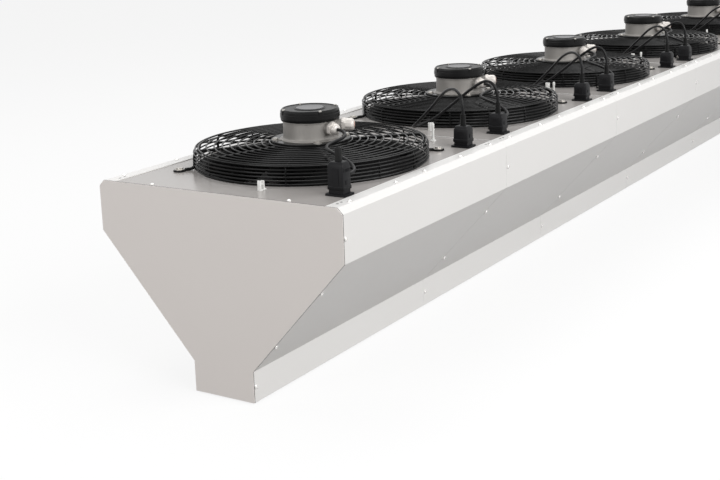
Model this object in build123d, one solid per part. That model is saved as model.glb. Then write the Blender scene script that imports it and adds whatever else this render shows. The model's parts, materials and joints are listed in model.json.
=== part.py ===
from build123d import *
import math
import os

os.makedirs("parts", exist_ok=True)

# Housing sizes, in mm
MODULES = 5
PITCH = 685.0
WIDTH = 600.0
SIDE_HEIGHT = 107.0
TAPER_HEIGHT = 250.0
NOZZLE_HEIGHT = 65.0
NOZZLE_WIDTH = 148.0
BEVEL = 12.0
SHEET = 1.5
END_SHEET = 2.0
TOP_LIP = 28.0
BOTTOM_LIP = 14.0
SEAM_GAP = 0.6
SEAT_GAP = 0.3
FRAME_BAND = 40.0
END_RIM = 22.0
FRAME_SHEET = 2.0
VANE_SPREAD = 50.0
VANE_SHEET = 1.5
VANE_MARGIN = 6.0
VENT_MARGIN = 5.0

# Screws of the housing
HEAD_R = 4.5
HEAD_H = 3.0
SHANK_R = 2.1
SHANK_L = 9.0
SHANK_FIT = 0.3
SCREW_INSET = 8.0
TAPER_SCREWS = (0.24, 0.74)
TOP_SCREWS = (55.0, 225.0, 340.0, 498.0, 640.0)
TOP_SCREW_EDGE = 18.0
END_TOP_SCREW_X = 16.0
END_TOP_SCREW_Y = 170.0

# Hanger holes in the lips of the top, from both ends of each module
HANGER_R = 3.25
HANGER_X = (30.0, 44.0)
HANGER_EDGE = 30.0

# Fan, from the centre of its module
IMPELLER_R = 225.0
TIP_GAP = 4.0
RING_SHEET = 2.0
RING_LIP = 19.0
RING_MOUTH = 10.0
RING_DEPTH = 78.0
RING_HOLE_GAP = 0.5
BLADES = 7
BLADE_T = 3.5
BLADE_CHORD = 120.0
BLADE_SWEEP = 42.0
BLADE_PITCH = 24.0
BLADE_DROP = 18.0
ROTOR_R = 74.0
ROTOR_WALL = 7.0
ROTOR_TOP = 36.0
ROTOR_BOTTOM = -58.0
STATOR_GAP = 3.0
STATOR_BOTTOM = -42.0
SHAFT_R = 8.5
SHAFT_FIT = 0.05
SHAFT_BOTTOM = -54.0

# Wire guard, heights above the top plate
GUARD_R = 253.0
WIRE = 3.6
GUARD_SHOULDER = 44.0
GUARD_CROWN = 47.0
GUARD_BEND = 10.0
SIDE_RINGS = 5
TOP_RINGS = 10
SPOKES = 8
STRAP = 8.0
GUARD_HUB_R = 62.0
FOOT_X = 204.0
FOOT_Y = 200.0
FOOT_R = 14.0
FOOT_T = 4.0
FOOT_HOLE_R = 4.2
FOOT_HEAD_H = 4.0

# Motor, heights above the top plate
FLANGE_R = 86.0
FLANGE_T = 6.0
CAN_R = 60.0
CAN_TOP = 92.0
COVER_R = 64.5
COVER_TOP = 117.0
COVER_CHAMFER = 4.0
DISC_R = 30.0
DISC_H = 1.2
MOTOR_BOLT_RING = 78.0
MOTOR_BOLT_R = 3.5
MOTOR_BOLT_HEAD = 6.0
MOTOR_BOLTS = 4
GLAND_Z = 78.0
CABLE_GLAND_ANGLE = -105.0
BLANK_GLAND_ANGLE = -62.0
GLAND_HEX = 15.5
GLAND_HEX_L = 12.0
GLAND_DOME_R = 11.5
GLAND_DOME_L = 20.0
GLAND_BLANK_R = 14.0
GLAND_BLANK_L = 28.0
GLAND_BOSS_R = 13.0
GLAND_BOSS_L = 8.0

# Connectors beside each fan, from the start of the module
SUPPLY_X = 97.0
LINK_X = 606.0
CONNECTOR_EDGE = 68.0
BASE_X = 36.0
BASE_Y = 46.0
BASE_T = 4.0
SOCKET_X = 26.0
SOCKET_Y = 34.0
SOCKET_H = 12.0
HOOD_X = 31.0
HOOD_Y = 38.0
TALL_HOOD_TOP = 66.0
HOOD_TOP = 48.0
HOOD_FILLET = 3.0
SLEEVE_R = 7.0
SLEEVE_CORE_R = 5.6
SLEEVE_RIBS = 5
TALL_SLEEVE_TOP = 93.0
SLEEVE_TOP = 74.0
SIDE_SLEEVE_L = 20.0
SIDE_SLEEVE_Z = 34.0

# Cables and their holders
CABLE_R = 3.5
CABLE_STRAIGHT = 20.0
CABLE_RISE = 32.0
SLEEVE_LEAD = 21.5
BEND_SHARE = 0.45
CLIP_X = 70.0
CLIP_Y = -67.0
CLIP_H = 20.0
CLIP_FOOT_X = 20.0
CLIP_FOOT_Y = 10.0
CLIP_FOOT_T = 2.0
CLIP_POST_X = 3.0
CLIP_POST_Y = 8.0
CLIP_POSTS = (-8.0, 3.0)
MAST_X = 641.0
MAST_Y = -135.0
MAST_H = 40.0
MAST_R = 3.5
MAST_FOOT_T = 2.5

LENGTH = MODULES * PITCH
START = -LENGTH / 2
FLOOR = HEAD_H
NOZZLE_TOP = FLOOR + NOZZLE_HEIGHT
FOLD = NOZZLE_TOP + TAPER_HEIGHT
TOP = FOLD + SIDE_HEIGHT
PLATE_TOP = TOP - SHEET
RING_R = IMPELLER_R + TIP_GAP
HALF = PITCH / 2
GLAND_TIP = CAN_R + GLAND_BOSS_L + GLAND_DOME_L
CONNECTOR_Y = CONNECTOR_EDGE - WIDTH / 2
SIDE_SLEEVE_END = SUPPLY_X + HOOD_X / 2 + SIDE_SLEEVE_L


def inset(points, distance):
    """Shift an open line to its right by a distance, with mitred corners."""
    normals = []
    for (a, b) in zip(points, points[1:]):
        dx, dy = b[0] - a[0], b[1] - a[1]
        size = math.hypot(dx, dy)
        normals.append((dy / size, -dx / size))
    joined = [normals[0]] + normals + [normals[-1]]
    shifted = []
    for point, n, m in zip(points, joined, joined[1:]):
        share = distance / (1 + n[0] * m[0] + n[1] * m[1])
        shifted.append((point[0] + (n[0] + m[0]) * share, point[1] + (n[1] + m[1]) * share))
    return shifted


def along_x(points, start, end):
    """Extrude a closed outline in the Y-Z plane from one x to another."""
    plane = Plane(origin=(start, 0, 0), x_dir=(0, 1, 0), z_dir=(1, 0, 0))
    face = plane * make_face(Polyline(*points, close=True))
    return extrude(face, amount=end - start, dir=(1, 0, 0))


def folded(points, start, end, near, far):
    """A sheet folded along a line, between two insets of that line."""
    return along_x(inset(points, near) + inset(points, far)[::-1], start, end)


def half_section(top, bottom=FLOOR):
    """The front half of the housing's outline, from the nozzle to the top."""
    return [
        (-NOZZLE_WIDTH / 2, bottom),
        (-NOZZLE_WIDTH / 2, NOZZLE_TOP),
        (-WIDTH / 2, FOLD),
        (-WIDTH / 2, top - BEVEL),
        (-WIDTH / 2 + BEVEL, top),
    ]


def full_section(top, bottom=FLOOR):
    front = half_section(top, bottom)
    return front + [(-y, z) for y, z in reversed(front)]


def module_start(index):
    return START + index * PITCH


def centre(index):
    return module_start(index) + HALF


def cylinder(radius, bottom, top, x=0.0, y=0.0):
    return Pos(x, y, (bottom + top) / 2) * Cylinder(radius, top - bottom)


def block(size_x, size_y, bottom, top, x=0.0, y=0.0):
    return Pos(x, y, (bottom + top) / 2) * Box(size_x, size_y, top - bottom)


def mirrored(shape, side):
    return shape if side < 0 else mirror(shape, Plane.XZ)


def on_line(start, end, share):
    """A point on the outline and the outward normal there."""
    dy, dz = end[0] - start[0], end[1] - start[1]
    size = math.hypot(dy, dz)
    return (start[0] + dy * share, start[1] + dz * share), (-dz / size, dy / size)


def side_places():
    """Screw places on the front half of the outline: point and normal."""
    outline = half_section(TOP)
    places = [on_line(outline[0], outline[1], 0.5), on_line(outline[2], outline[3], 0.5)]
    places += [on_line(outline[1], outline[2], share) for share in TAPER_SCREWS]
    return places


def bottom_place():
    return (-NOZZLE_WIDTH / 2 + BOTTOM_LIP / 2, FLOOR), (0.0, -1.0)


def top_place():
    return (TOP_SCREW_EDGE - WIDTH / 2, TOP), (0.0, 1.0)


def panel_screws(index):
    """All screws of one front panel: x, point, normal, from the module's start."""
    ends = [SCREW_INSET]
    if index == MODULES - 1:
        ends.append(PITCH - SCREW_INSET)
    places = [(x, *place) for x in ends for place in side_places()]
    places += [(x, *top_place()) for x in TOP_SCREWS]
    return places


def bottom_screws(index):
    return [(x, *bottom_place()) for x in (SCREW_INSET, HALF, PITCH - SCREW_INSET)]


def screw(x, point, normal, head_r=HEAD_R):
    """A pan-head screw with its head seated at a point of the outline."""
    seat = Plane(origin=(x, *point), x_dir=(1, 0, 0), z_dir=(0, *normal))
    head = seat * Pos(0, 0, HEAD_H / 2) * Cylinder(head_r, HEAD_H)
    shank = seat * Pos(0, 0, -SHANK_L / 2) * Cylinder(SHANK_R, SHANK_L)
    return head + shank


def screw_hole(x, point, normal):
    seat = Plane(origin=(x, *point), x_dir=(1, 0, 0), z_dir=(0, *normal))
    return seat * Cylinder(SHANK_R + SHANK_FIT, 4 * SHANK_L)


def hanger_holes(index):
    """Hanger holes of the front side that fall in one module."""
    places = [module_start(index) + x for x in HANGER_X]
    places += [module_start(index + 1) - x for x in HANGER_X]
    return [cylinder(HANGER_R, TOP - 2 * BEVEL, TOP + BEVEL, x, HANGER_EDGE - WIDTH / 2) for x in places]


def side_panel(index, side):
    """Front or rear sheet: bottom lip, nozzle wall, taper, side, bevel, top lip."""
    near_end = END_SHEET if index == 0 else SEAM_GAP / 2
    far_end = END_SHEET if index == MODULES - 1 else SEAM_GAP / 2
    outline = half_section(TOP)
    line = [(outline[0][0] + BOTTOM_LIP, FLOOR)] + outline
    line.append((outline[-1][0] + TOP_LIP, TOP))
    origin = module_start(index)
    sheet = folded(line, origin + near_end, origin + PITCH - far_end, 0, SHEET)
    for x, point, normal in panel_screws(index) + bottom_screws(index):
        hole = screw_hole(origin + x, point, normal)
        wall = Pos(origin + x, *point) * Box(*[2 * SHANK_L] * 3)
        sheet -= hole & wall
    for hole in hanger_holes(index):
        sheet -= hole
    return mirrored(sheet, side)


def foot_places():
    return [(sx * FOOT_X, sy * FOOT_Y) for sx in (-1, 1) for sy in (-1, 1)]


def top_plate(index):
    """Flat plate under the panels' top lips, with the fan's opening."""
    near_end = END_SHEET if index == 0 else SEAM_GAP / 2
    far_end = END_SHEET if index == MODULES - 1 else SEAM_GAP / 2
    origin = module_start(index)
    half_width = WIDTH / 2 - BEVEL - SHEET
    low, high = origin + near_end, origin + PITCH - far_end
    plate = block(high - low, 2 * half_width, PLATE_TOP - SHEET, PLATE_TOP, (low + high) / 2)
    opening = RING_R + RING_SHEET + RING_MOUTH + RING_HOLE_GAP
    plate -= cylinder(opening, PLATE_TOP - BEVEL, PLATE_TOP + BEVEL, centre(index))
    for x, y in foot_places():
        plate -= cylinder(FOOT_HOLE_R, PLATE_TOP - BEVEL, PLATE_TOP + BEVEL, centre(index) + x, y)
    for side in (-1, 1):
        for x in TOP_SCREWS:
            hole = screw_hole(origin + x, *top_place())
            plate -= mirrored(hole & Pos(origin + x, *top_place()[0]) * Box(*[2 * SHANK_L] * 3), side)
        for hole in hanger_holes(index):
            plate -= mirrored(hole, side)
        for x in end_top_screws(index):
            plate -= cylinder(SHANK_R + SHANK_FIT, PLATE_TOP - BEVEL, PLATE_TOP + BEVEL, x,
                              side * END_TOP_SCREW_Y)
    return plate


def end_top_screws(index):
    first = [START + END_TOP_SCREW_X]
    last = [-START - END_TOP_SCREW_X]
    return first * (index == 0) + last * (index == MODULES - 1)


def frame_band(start, end):
    """Inner band that backs the sheets all round, open at the nozzle."""
    line = full_section(TOP - SHEET, FLOOR + SHEET + SEAT_GAP)
    near = SHEET + SEAT_GAP
    return folded(line, start, end, near, near + FRAME_SHEET)


def band_holes(shape, places, top_holes):
    for x, point, normal in places:
        hole = screw_hole(x, point, normal) & Pos(x, *point) * Box(*[2 * SHANK_L] * 3)
        for side in (-1, 1):
            shape -= mirrored(hole, side)
    for x, y in top_holes:
        shape -= cylinder(SHANK_R + SHANK_FIT, TOP - 2 * BEVEL, TOP, x, y)
    return shape


def vane_carrier(x_low, x_high):
    half = NOZZLE_WIDTH / 2 - SHEET - SEAT_GAP - FRAME_SHEET / 2
    return Pos((x_low + x_high) / 2, 0, (FLOOR + NOZZLE_TOP) / 2) * Box(
        x_high - x_low, 2 * half, NOZZLE_HEIGHT - 2 * VENT_MARGIN)


def joint_frame(index):
    """Frame behind the seam after a module, with the plate that carries the vanes."""
    seam = module_start(index + 1)
    band = frame_band(seam - FRAME_BAND / 2, seam + FRAME_BAND / 2)
    band += vane_carrier(seam - FRAME_SHEET / 2, seam + FRAME_SHEET / 2)
    places = [(seam + SCREW_INSET, *place) for place in side_places()]
    return band_holes(band, places, [])


def end_plate(side):
    """End sheet with its rim folded in behind the panels."""
    line = full_section(TOP)
    plate = along_x(line, START, START + END_SHEET)
    plate += frame_band(START + END_SHEET / 2, START + END_RIM)
    places = [(START + SCREW_INSET, *place) for place in side_places()]
    tops = [(START + END_TOP_SCREW_X, s * END_TOP_SCREW_Y) for s in (-1, 1)]
    plate = band_holes(plate, places, tops)
    return plate if side < 0 else mirror(plate, Plane.YZ)


def outlet_vanes():
    vanes = []
    for index in range(MODULES):
        origin = module_start(index)
        near_end = END_SHEET if index == 0 else FRAME_SHEET / 2
        far_end = END_SHEET if index == MODULES - 1 else FRAME_SHEET / 2
        low, high = origin + near_end + SEAT_GAP, origin + PITCH - far_end - SEAT_GAP
        for side in (-1, 1):
            vanes.append(block(high - low, VANE_SHEET, FLOOR + VANE_MARGIN,
                               NOZZLE_TOP - VANE_MARGIN, (low + high) / 2, side * VANE_SPREAD / 2))
    return vanes


def revolved(points):
    """Turn a closed outline of (radius, height) once about the vertical axis."""
    return revolve(Plane.XZ * make_face(Polyline(*points, close=True)), Axis.Z, 360)


def inlet_ring():
    """Bell-mouthed duct round the impeller, with its lip on the top plate."""
    outer = RING_R + RING_SHEET
    mouth = outer + RING_MOUTH
    with BuildSketch(Plane.XZ) as section:
        with BuildLine():
            Line((RING_R, -RING_DEPTH), (outer, -RING_DEPTH))
            Line((outer, -RING_DEPTH), (outer, -RING_MOUTH))
            RadiusArc((outer, -RING_MOUTH), (mouth, 0), RING_MOUTH)
            Line((mouth, 0), (RING_R + RING_LIP + RING_SHEET, 0))
            Line((RING_R + RING_LIP + RING_SHEET, 0), (RING_R + RING_LIP + RING_SHEET, RING_SHEET))
            Line((RING_R + RING_LIP + RING_SHEET, RING_SHEET), (mouth, RING_SHEET))
            RadiusArc((mouth, RING_SHEET), (RING_R, -RING_MOUTH), -RING_MOUTH - RING_SHEET)
            Line((RING_R, -RING_MOUTH), (RING_R, -RING_DEPTH))
        make_face()
    return revolve(section.sketch, Axis.Z, 360)


def ring_wire(radius, height):
    """One ring of the guard, square in section like the strap it is laid on."""
    outer = cylinder(radius + WIRE / 2, height - WIRE / 2, height + WIRE / 2)
    return outer - cylinder(radius - WIRE / 2, height - WIRE, height + WIRE)


def guard_line():
    """Radius and height of the guard's wires, from its hub out and down to its base."""
    return [
        (GUARD_HUB_R, GUARD_CROWN),
        (GUARD_R - GUARD_BEND, GUARD_SHOULDER),
        (GUARD_R, GUARD_SHOULDER - GUARD_BEND),
        (GUARD_R, RING_SHEET + SEAT_GAP),
    ]


def guard_leg(angle, wide, thick, bottom):
    """A bent bar in a radial plane, laid into the rings from below."""
    line = [(r, z - WIRE / 2 - SEAT_GAP) for r, z in guard_line()]
    line[-1] = (GUARD_R, bottom)
    points = inset(line, -thick / 2) + inset(line, thick / 2)[::-1]
    plane = Plane.XZ.offset(-wide / 2)
    leg = extrude(plane * make_face(Polyline(*points, close=True)), amount=wide)
    return Rot(0, 0, angle) * leg


def guard_foot(x, y):
    """Strap leg that ends in a bolted oval foot on the top plate."""
    angle = math.degrees(math.atan2(y, x))
    reach = math.hypot(x, y)
    leg = guard_leg(angle, STRAP, STRAP / 2, SEAT_GAP)
    tab = Pos((GUARD_R + reach) / 2, 0, FOOT_T / 2) * Box(reach - GUARD_R + STRAP / 2, STRAP * 2, FOOT_T)
    foot = leg + Rot(0, 0, angle) * tab + cylinder(FOOT_R, 0, FOOT_T, x, y)
    return foot - cylinder(FOOT_HOLE_R, -FOOT_T, 2 * FOOT_T, x, y)


def guard_rings():
    """Radius and height of every ring, from the base up the side and in to the hub."""
    base = RING_SHEET + SEAT_GAP + WIRE / 2
    side_step = (GUARD_SHOULDER - GUARD_BEND - base) / (SIDE_RINGS - 1)
    rings = [(GUARD_R, base + step * side_step) for step in range(SIDE_RINGS)]
    rings.append((GUARD_R - GUARD_BEND / 3, GUARD_SHOULDER - GUARD_BEND / 3))
    inner, outer = FLANGE_R + WIRE, GUARD_R - GUARD_BEND
    for step in range(TOP_RINGS):
        share = step / (TOP_RINGS - 1)
        height = GUARD_CROWN + (GUARD_SHOULDER - GUARD_CROWN) * share - WIRE / 2
        rings.append((inner + (outer - inner) * share, height))
    return rings


def fan_guard():
    hub = cylinder(FLANGE_R, GUARD_CROWN - WIRE, GUARD_CROWN)
    hub -= cylinder(GUARD_HUB_R, 0, COVER_TOP)
    pieces = [ring_wire(radius, height) for radius, height in guard_rings()]
    for step in range(SPOKES):
        pieces.append(guard_leg((step + 0.5) * 360 / SPOKES, WIRE, WIRE, RING_SHEET + SEAT_GAP))
    pieces += [guard_foot(x, y) for x, y in foot_places()]
    guard = hub.fuse(*pieces)
    for angle in motor_bolt_angles():
        guard -= Rot(0, 0, angle) * cylinder(MOTOR_BOLT_R + SHANK_FIT, 0, COVER_TOP, MOTOR_BOLT_RING)
    return guard


def motor_bolt_angles():
    return [(step + 0.5) * 360 / MOTOR_BOLTS for step in range(MOTOR_BOLTS)]


def radial(shape, angle, distance, height):
    """Turn a shape that stands on Z outwards, at an angle, distance and height."""
    return Rot(0, 0, angle) * Pos(distance, 0, height) * Rot(0, 90, 0) * shape


def motor_housing():
    """Terminal can with gland bosses and flange, fixed stator and its shaft."""
    seat = GUARD_CROWN
    body = cylinder(FLANGE_R, seat, seat + FLANGE_T) + cylinder(CAN_R, seat, CAN_TOP)
    for angle in (CABLE_GLAND_ANGLE, BLANK_GLAND_ANGLE):
        depth = GLAND_BOSS_L + CAN_R / 2
        body += radial(Cylinder(GLAND_BOSS_R, depth), angle, CAN_R + GLAND_BOSS_L - depth / 2, GLAND_Z)
    body += cylinder(ROTOR_R - ROTOR_WALL - STATOR_GAP - STATOR_GAP, STATOR_BOTTOM, seat)
    body += cylinder(SHAFT_R, SHAFT_BOTTOM, seat)
    for angle in motor_bolt_angles():
        body -= Rot(0, 0, angle) * cylinder(MOTOR_BOLT_R + SHANK_FIT, seat - 1, seat + FLANGE_T + 1,
                                            MOTOR_BOLT_RING)
    return body


def terminal_cover():
    cover = chamfer(cylinder(COVER_R, CAN_TOP, COVER_TOP).edges().group_by(Axis.Z)[-1], COVER_CHAMFER)
    return cover + cylinder(DISC_R, COVER_TOP, COVER_TOP + DISC_H)


def gland(angle, dome_r, dome_l):
    """Hexagon nut and domed nose on a boss of the can."""
    root = CAN_R + GLAND_BOSS_L
    nut = extrude(RegularPolygon(GLAND_HEX, 6), GLAND_HEX_L)
    dome = Pos(0, 0, dome_l / 2) * Cylinder(dome_r, dome_l)
    dome = fillet(dome.edges().group_by(Axis.Z)[-1], WIRE)
    return radial(nut + dome, angle, root, GLAND_Z)


def bolt(radius, head_r, bottom, seat, head_h):
    return cylinder(radius, bottom, seat + head_h / 2) + extrude(
        Pos(0, 0, seat) * RegularPolygon(head_r, 6), head_h)


def motor_bolts():
    seat = GUARD_CROWN + FLANGE_T
    one = bolt(MOTOR_BOLT_R, MOTOR_BOLT_HEAD, GUARD_CROWN - 2 * WIRE, seat, HEAD_H)
    return [Rot(0, 0, angle) * Pos(MOTOR_BOLT_RING, 0, 0) * one for angle in motor_bolt_angles()]


def guard_bolts():
    one = bolt(FOOT_HOLE_R - SHANK_FIT, 2 * FOOT_HOLE_R, -SHANK_L, FOOT_T, FOOT_HEAD_H)
    return [Pos(x, y, 0) * one for x, y in foot_places()]


def rotor_blade():
    """Sickle blade, a flat plate bounded by arcs and turned to its pitch."""
    inner, outer = ROTOR_R - ROTOR_WALL / 2, IMPELLER_R + BLADE_CHORD / 4
    middle = (inner + outer) / 2
    lead = ThreePointArc((inner, -BLADE_CHORD / 3), (middle, -BLADE_CHORD / 3 - BLADE_SWEEP / 2),
                         (outer, BLADE_SWEEP / 2))
    tip = Line((outer, BLADE_SWEEP / 2), (outer, BLADE_SWEEP / 2 + BLADE_CHORD))
    trail = ThreePointArc((outer, BLADE_SWEEP / 2 + BLADE_CHORD), (middle, BLADE_CHORD / 3),
                          (inner, BLADE_CHORD / 3))
    root = Line((inner, BLADE_CHORD / 3), (inner, -BLADE_CHORD / 3))
    outline = make_face(Wire([lead, tip, trail, root]))
    plate = Pos(0, 0, -BLADE_T / 2) * extrude(outline, BLADE_T)
    return Pos(0, 0, -BLADE_DROP) * Rot(BLADE_PITCH, 0, 0) * plate


def impeller():
    """Cup rotor on the fixed shaft with its ring of blades."""
    floor = STATOR_BOTTOM - STATOR_GAP
    blade = rotor_blade()
    wheel = cylinder(ROTOR_R, ROTOR_BOTTOM, ROTOR_TOP)
    for step in range(BLADES):
        wheel += Rot(0, 0, step * 360 / BLADES) * blade
    wheel &= cylinder(IMPELLER_R, 2 * ROTOR_BOTTOM, COVER_TOP)
    wheel -= cylinder(ROTOR_R - ROTOR_WALL, floor, COVER_TOP)
    wheel -= cylinder(SHAFT_R + SHAFT_FIT, SHAFT_BOTTOM - STATOR_GAP / 2, COVER_TOP)
    return wheel


def rounded_block(size_x, size_y, bottom, top, radius):
    shape = block(size_x, size_y, bottom, top)
    return fillet(shape.edges().filter_by(Axis.Z), radius)


def connector_base():
    base = rounded_block(BASE_X, BASE_Y, 0, BASE_T, HOOD_FILLET)
    return base + rounded_block(SOCKET_X, SOCKET_Y, BASE_T, SOCKET_H, HOOD_FILLET / 2)


def connector_hood(top):
    """Hood over the socket with its shoulders drawn in towards the sleeve."""
    low = rounded_block(HOOD_X, HOOD_Y, SOCKET_H, top - HOOD_FILLET * 2, HOOD_FILLET)
    cap = rounded_block(HOOD_X - HOOD_FILLET, HOOD_Y - HOOD_FILLET, SOCKET_H, top, HOOD_FILLET)
    return low + cap


def top_sleeve(bottom, top):
    core = cylinder(SLEEVE_CORE_R, bottom, top)
    rib = (top - bottom) / (2 * SLEEVE_RIBS)
    for step in range(SLEEVE_RIBS):
        core += cylinder(SLEEVE_R, bottom + 2 * step * rib, bottom + (2 * step + 1) * rib)
    return core


def side_sleeve():
    """Sleeve on the fan's side of a supply hood, pointing along +X."""
    sleeve = top_sleeve(0, SIDE_SLEEVE_L)
    return Pos(HOOD_X / 2, 0, SIDE_SLEEVE_Z) * Rot(0, 90, 0) * sleeve


def on_plate(shape, index, x, y):
    return Pos(module_start(index) + x, y, PLATE_TOP) * shape


def tube(points):
    """Cable along straight runs joined by tangent arcs, as large as the runs allow."""
    vectors = [Vector(*point) for point in points]
    radii = []
    for before, here, after in zip(vectors, vectors[1:], vectors[2:]):
        turn = math.radians((here - before).get_angle(after - here))
        shorter = min((here - before).length, (after - here).length)
        radii.append(BEND_SHARE * shorter / math.tan(turn / 2))
    path = FilletPolyline(*vectors, radius=radii)
    plane = Plane(origin=path @ 0, z_dir=path % 0)
    return sweep(plane * Circle(CABLE_R), path=path)


def fan_cable_points():
    """From the tip of the gland over the guard to the sleeve beside the supply hood."""
    angle = math.radians(CABLE_GLAND_ANGLE)
    tip, out = [
        (HALF + reach * math.cos(angle), reach * math.sin(angle), GLAND_Z)
        for reach in (GLAND_TIP, GLAND_TIP + CABLE_STRAIGHT)
    ]
    return [
        tip,
        out,
        (290, -124, 70),
        (246, -117, 66),
        (204, -130, 66),
        (180, -158, 63),
        (176, -192, 54),
        (170, -218, 42),
        (SIDE_SLEEVE_END + SLEEVE_LEAD, CONNECTOR_Y, SIDE_SLEEVE_Z),
        (SIDE_SLEEVE_END, CONNECTOR_Y, SIDE_SLEEVE_Z),
    ]


def link_cable_points():
    """From a link hood over the seam, down to the plate and up to the next supply hood."""
    next_x = PITCH + SUPPLY_X
    return [
        (LINK_X, CONNECTOR_Y, SLEEVE_TOP),
        (LINK_X, CONNECTOR_Y, SLEEVE_TOP + CABLE_RISE),
        (622, -208, 126),
        (650, -174, 122),
        (680, -138, 102),
        (698, -108, 74),
        (704, -78, 46),
        (708, -52, 22),
        (726, -30, 10),
        (755, -34, 9),
        (769, -64, 23),
        (773, -102, 52),
        (777, -138, 82),
        (779, -172, 108),
        (781, -206, 127),
        (next_x, CONNECTOR_Y, SLEEVE_TOP + CABLE_RISE),
        (next_x, CONNECTOR_Y, SLEEVE_TOP),
    ]


def cable(points, index):
    placed = [(x + module_start(index), y, z + PLATE_TOP) for x, y, z in points]
    return tube(placed)


def clip():
    """Open U of white plastic that holds a wire on the top plate."""
    shape = block(CLIP_FOOT_X, CLIP_FOOT_Y, 0, CLIP_FOOT_T)
    for x in CLIP_POSTS:
        shape += block(CLIP_POST_X, CLIP_POST_Y, 0, CLIP_H, x)
    return shape


def mast():
    return cylinder(2 * MAST_R, 0, MAST_FOOT_T) + cylinder(MAST_R, 0, MAST_H)


def save(name, shapes):
    solids = []
    for shape in (shapes if isinstance(shapes, list) else [shapes]):
        solids += shape.solids()
    export_step(solids[0] if len(solids) == 1 else Compound(children=solids), f"parts/{name}.step")


def save_housing():
    save("end_plate_left", end_plate(-1))
    save("end_plate_right", end_plate(1))
    for index in range(MODULES):
        save(f"top_plate_{index + 1}", top_plate(index))
        save(f"front_panel_{index + 1}", side_panel(index, -1))
        save(f"rear_panel_{index + 1}", side_panel(index, 1))
    for index in range(MODULES - 1):
        save(f"joint_frame_{index + 1}", joint_frame(index))
    save("outlet_vanes", outlet_vanes())


def save_screws():
    sides, bottoms = [], []
    for index in range(MODULES):
        origin = module_start(index)
        for side in (-1, 1):
            sides += [mirrored(screw(origin + x, *place), side) for x, *place in panel_screws(index)]
            bottoms += [mirrored(screw(origin + x, *place), side) for x, *place in bottom_screws(index)]
            for x in end_top_screws(index):
                sides.append(screw(x, (side * END_TOP_SCREW_Y, PLATE_TOP), (0, 1)))
    save("panel_screws", sides)
    save("nozzle_screws", bottoms)


def save_fans():
    ring, guard, motor, wheel = inlet_ring(), fan_guard(), motor_housing(), impeller()
    cover = terminal_cover()
    wired, blank = gland(CABLE_GLAND_ANGLE, GLAND_DOME_R, GLAND_DOME_L), gland(BLANK_GLAND_ANGLE, GLAND_BLANK_R, GLAND_BLANK_L)
    places = [Pos(centre(index), 0, PLATE_TOP) for index in range(MODULES)]
    for index, place in enumerate(places):
        save(f"fan_guard_{index + 1}", place * guard)
        save(f"motor_housing_{index + 1}", place * motor)
        save(f"impeller_{index + 1}", place * wheel)
    save("inlet_rings", [place * ring for place in places])
    save("terminal_covers", [place * cover for place in places])
    save("cable_glands", [place * wired for place in places])
    save("blanking_glands", [place * blank for place in places])
    save("motor_bolts", [place * one for place in places for one in motor_bolts()])
    save("guard_bolts", [place * one for place in places for one in guard_bolts()])


def save_connectors():
    base = connector_base()
    bases, hoods, sleeves, clips = [], [], [], []
    for index in range(MODULES):
        hood_top = TALL_HOOD_TOP if index == 0 else HOOD_TOP
        sleeve_top = TALL_SLEEVE_TOP if index == 0 else SLEEVE_TOP
        places = [(SUPPLY_X, hood_top, sleeve_top)]
        if index < MODULES - 1:
            places.append((LINK_X, HOOD_TOP, SLEEVE_TOP))
        for x, top, end in places:
            bases.append(on_plate(base, index, x, CONNECTOR_Y))
            hoods.append(on_plate(connector_hood(top), index, x, CONNECTOR_Y))
            sleeves.append(on_plate(top_sleeve(top, end), index, x, CONNECTOR_Y))
        sleeves.append(on_plate(side_sleeve(), index, SUPPLY_X, CONNECTOR_Y))
        clips.append(on_plate(clip(), index, CLIP_X, CLIP_Y))
        clips.append(on_plate(mast(), index, MAST_X, MAST_Y))
    save("connector_bases", bases)
    save("connector_hoods", hoods)
    save("bend_sleeves", sleeves)
    save("cable_clips", clips)
    for index in range(MODULES):
        save(f"fan_cable_{index + 1}", cable(fan_cable_points(), index))
    for index in range(MODULES - 1):
        save(f"link_cable_{index + 1}", cable(link_cable_points(), index))


save_housing()
save_screws()
save_fans()
save_connectors()
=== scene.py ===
"""Air curtain: finishes, wire guards, motor covers, glands, connectors, cables and studio."""
from __future__ import annotations

import json
import logging
import math
from dataclasses import dataclass, field
from enum import Enum

import bmesh
import bpy
import numpy as np
from mathutils import Matrix

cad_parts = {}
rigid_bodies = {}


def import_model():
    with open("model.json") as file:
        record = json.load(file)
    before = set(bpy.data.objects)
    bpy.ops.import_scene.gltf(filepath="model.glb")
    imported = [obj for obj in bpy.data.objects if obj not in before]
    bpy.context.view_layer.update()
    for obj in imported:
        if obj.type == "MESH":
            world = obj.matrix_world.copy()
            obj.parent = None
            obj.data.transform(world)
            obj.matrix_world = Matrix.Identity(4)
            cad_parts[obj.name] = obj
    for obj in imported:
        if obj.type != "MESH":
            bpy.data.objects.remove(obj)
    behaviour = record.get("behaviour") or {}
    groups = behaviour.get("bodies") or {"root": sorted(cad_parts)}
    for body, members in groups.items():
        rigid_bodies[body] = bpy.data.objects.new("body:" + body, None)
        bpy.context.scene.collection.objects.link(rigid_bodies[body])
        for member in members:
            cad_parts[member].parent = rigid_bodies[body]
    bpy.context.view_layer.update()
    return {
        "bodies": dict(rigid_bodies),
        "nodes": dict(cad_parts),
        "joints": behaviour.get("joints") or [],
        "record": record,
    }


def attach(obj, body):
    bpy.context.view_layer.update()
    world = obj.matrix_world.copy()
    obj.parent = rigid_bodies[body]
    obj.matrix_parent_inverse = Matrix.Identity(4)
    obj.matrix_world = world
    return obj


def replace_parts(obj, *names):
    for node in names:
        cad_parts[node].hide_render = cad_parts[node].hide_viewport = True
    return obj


log = logging.getLogger("air_curtain")

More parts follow.
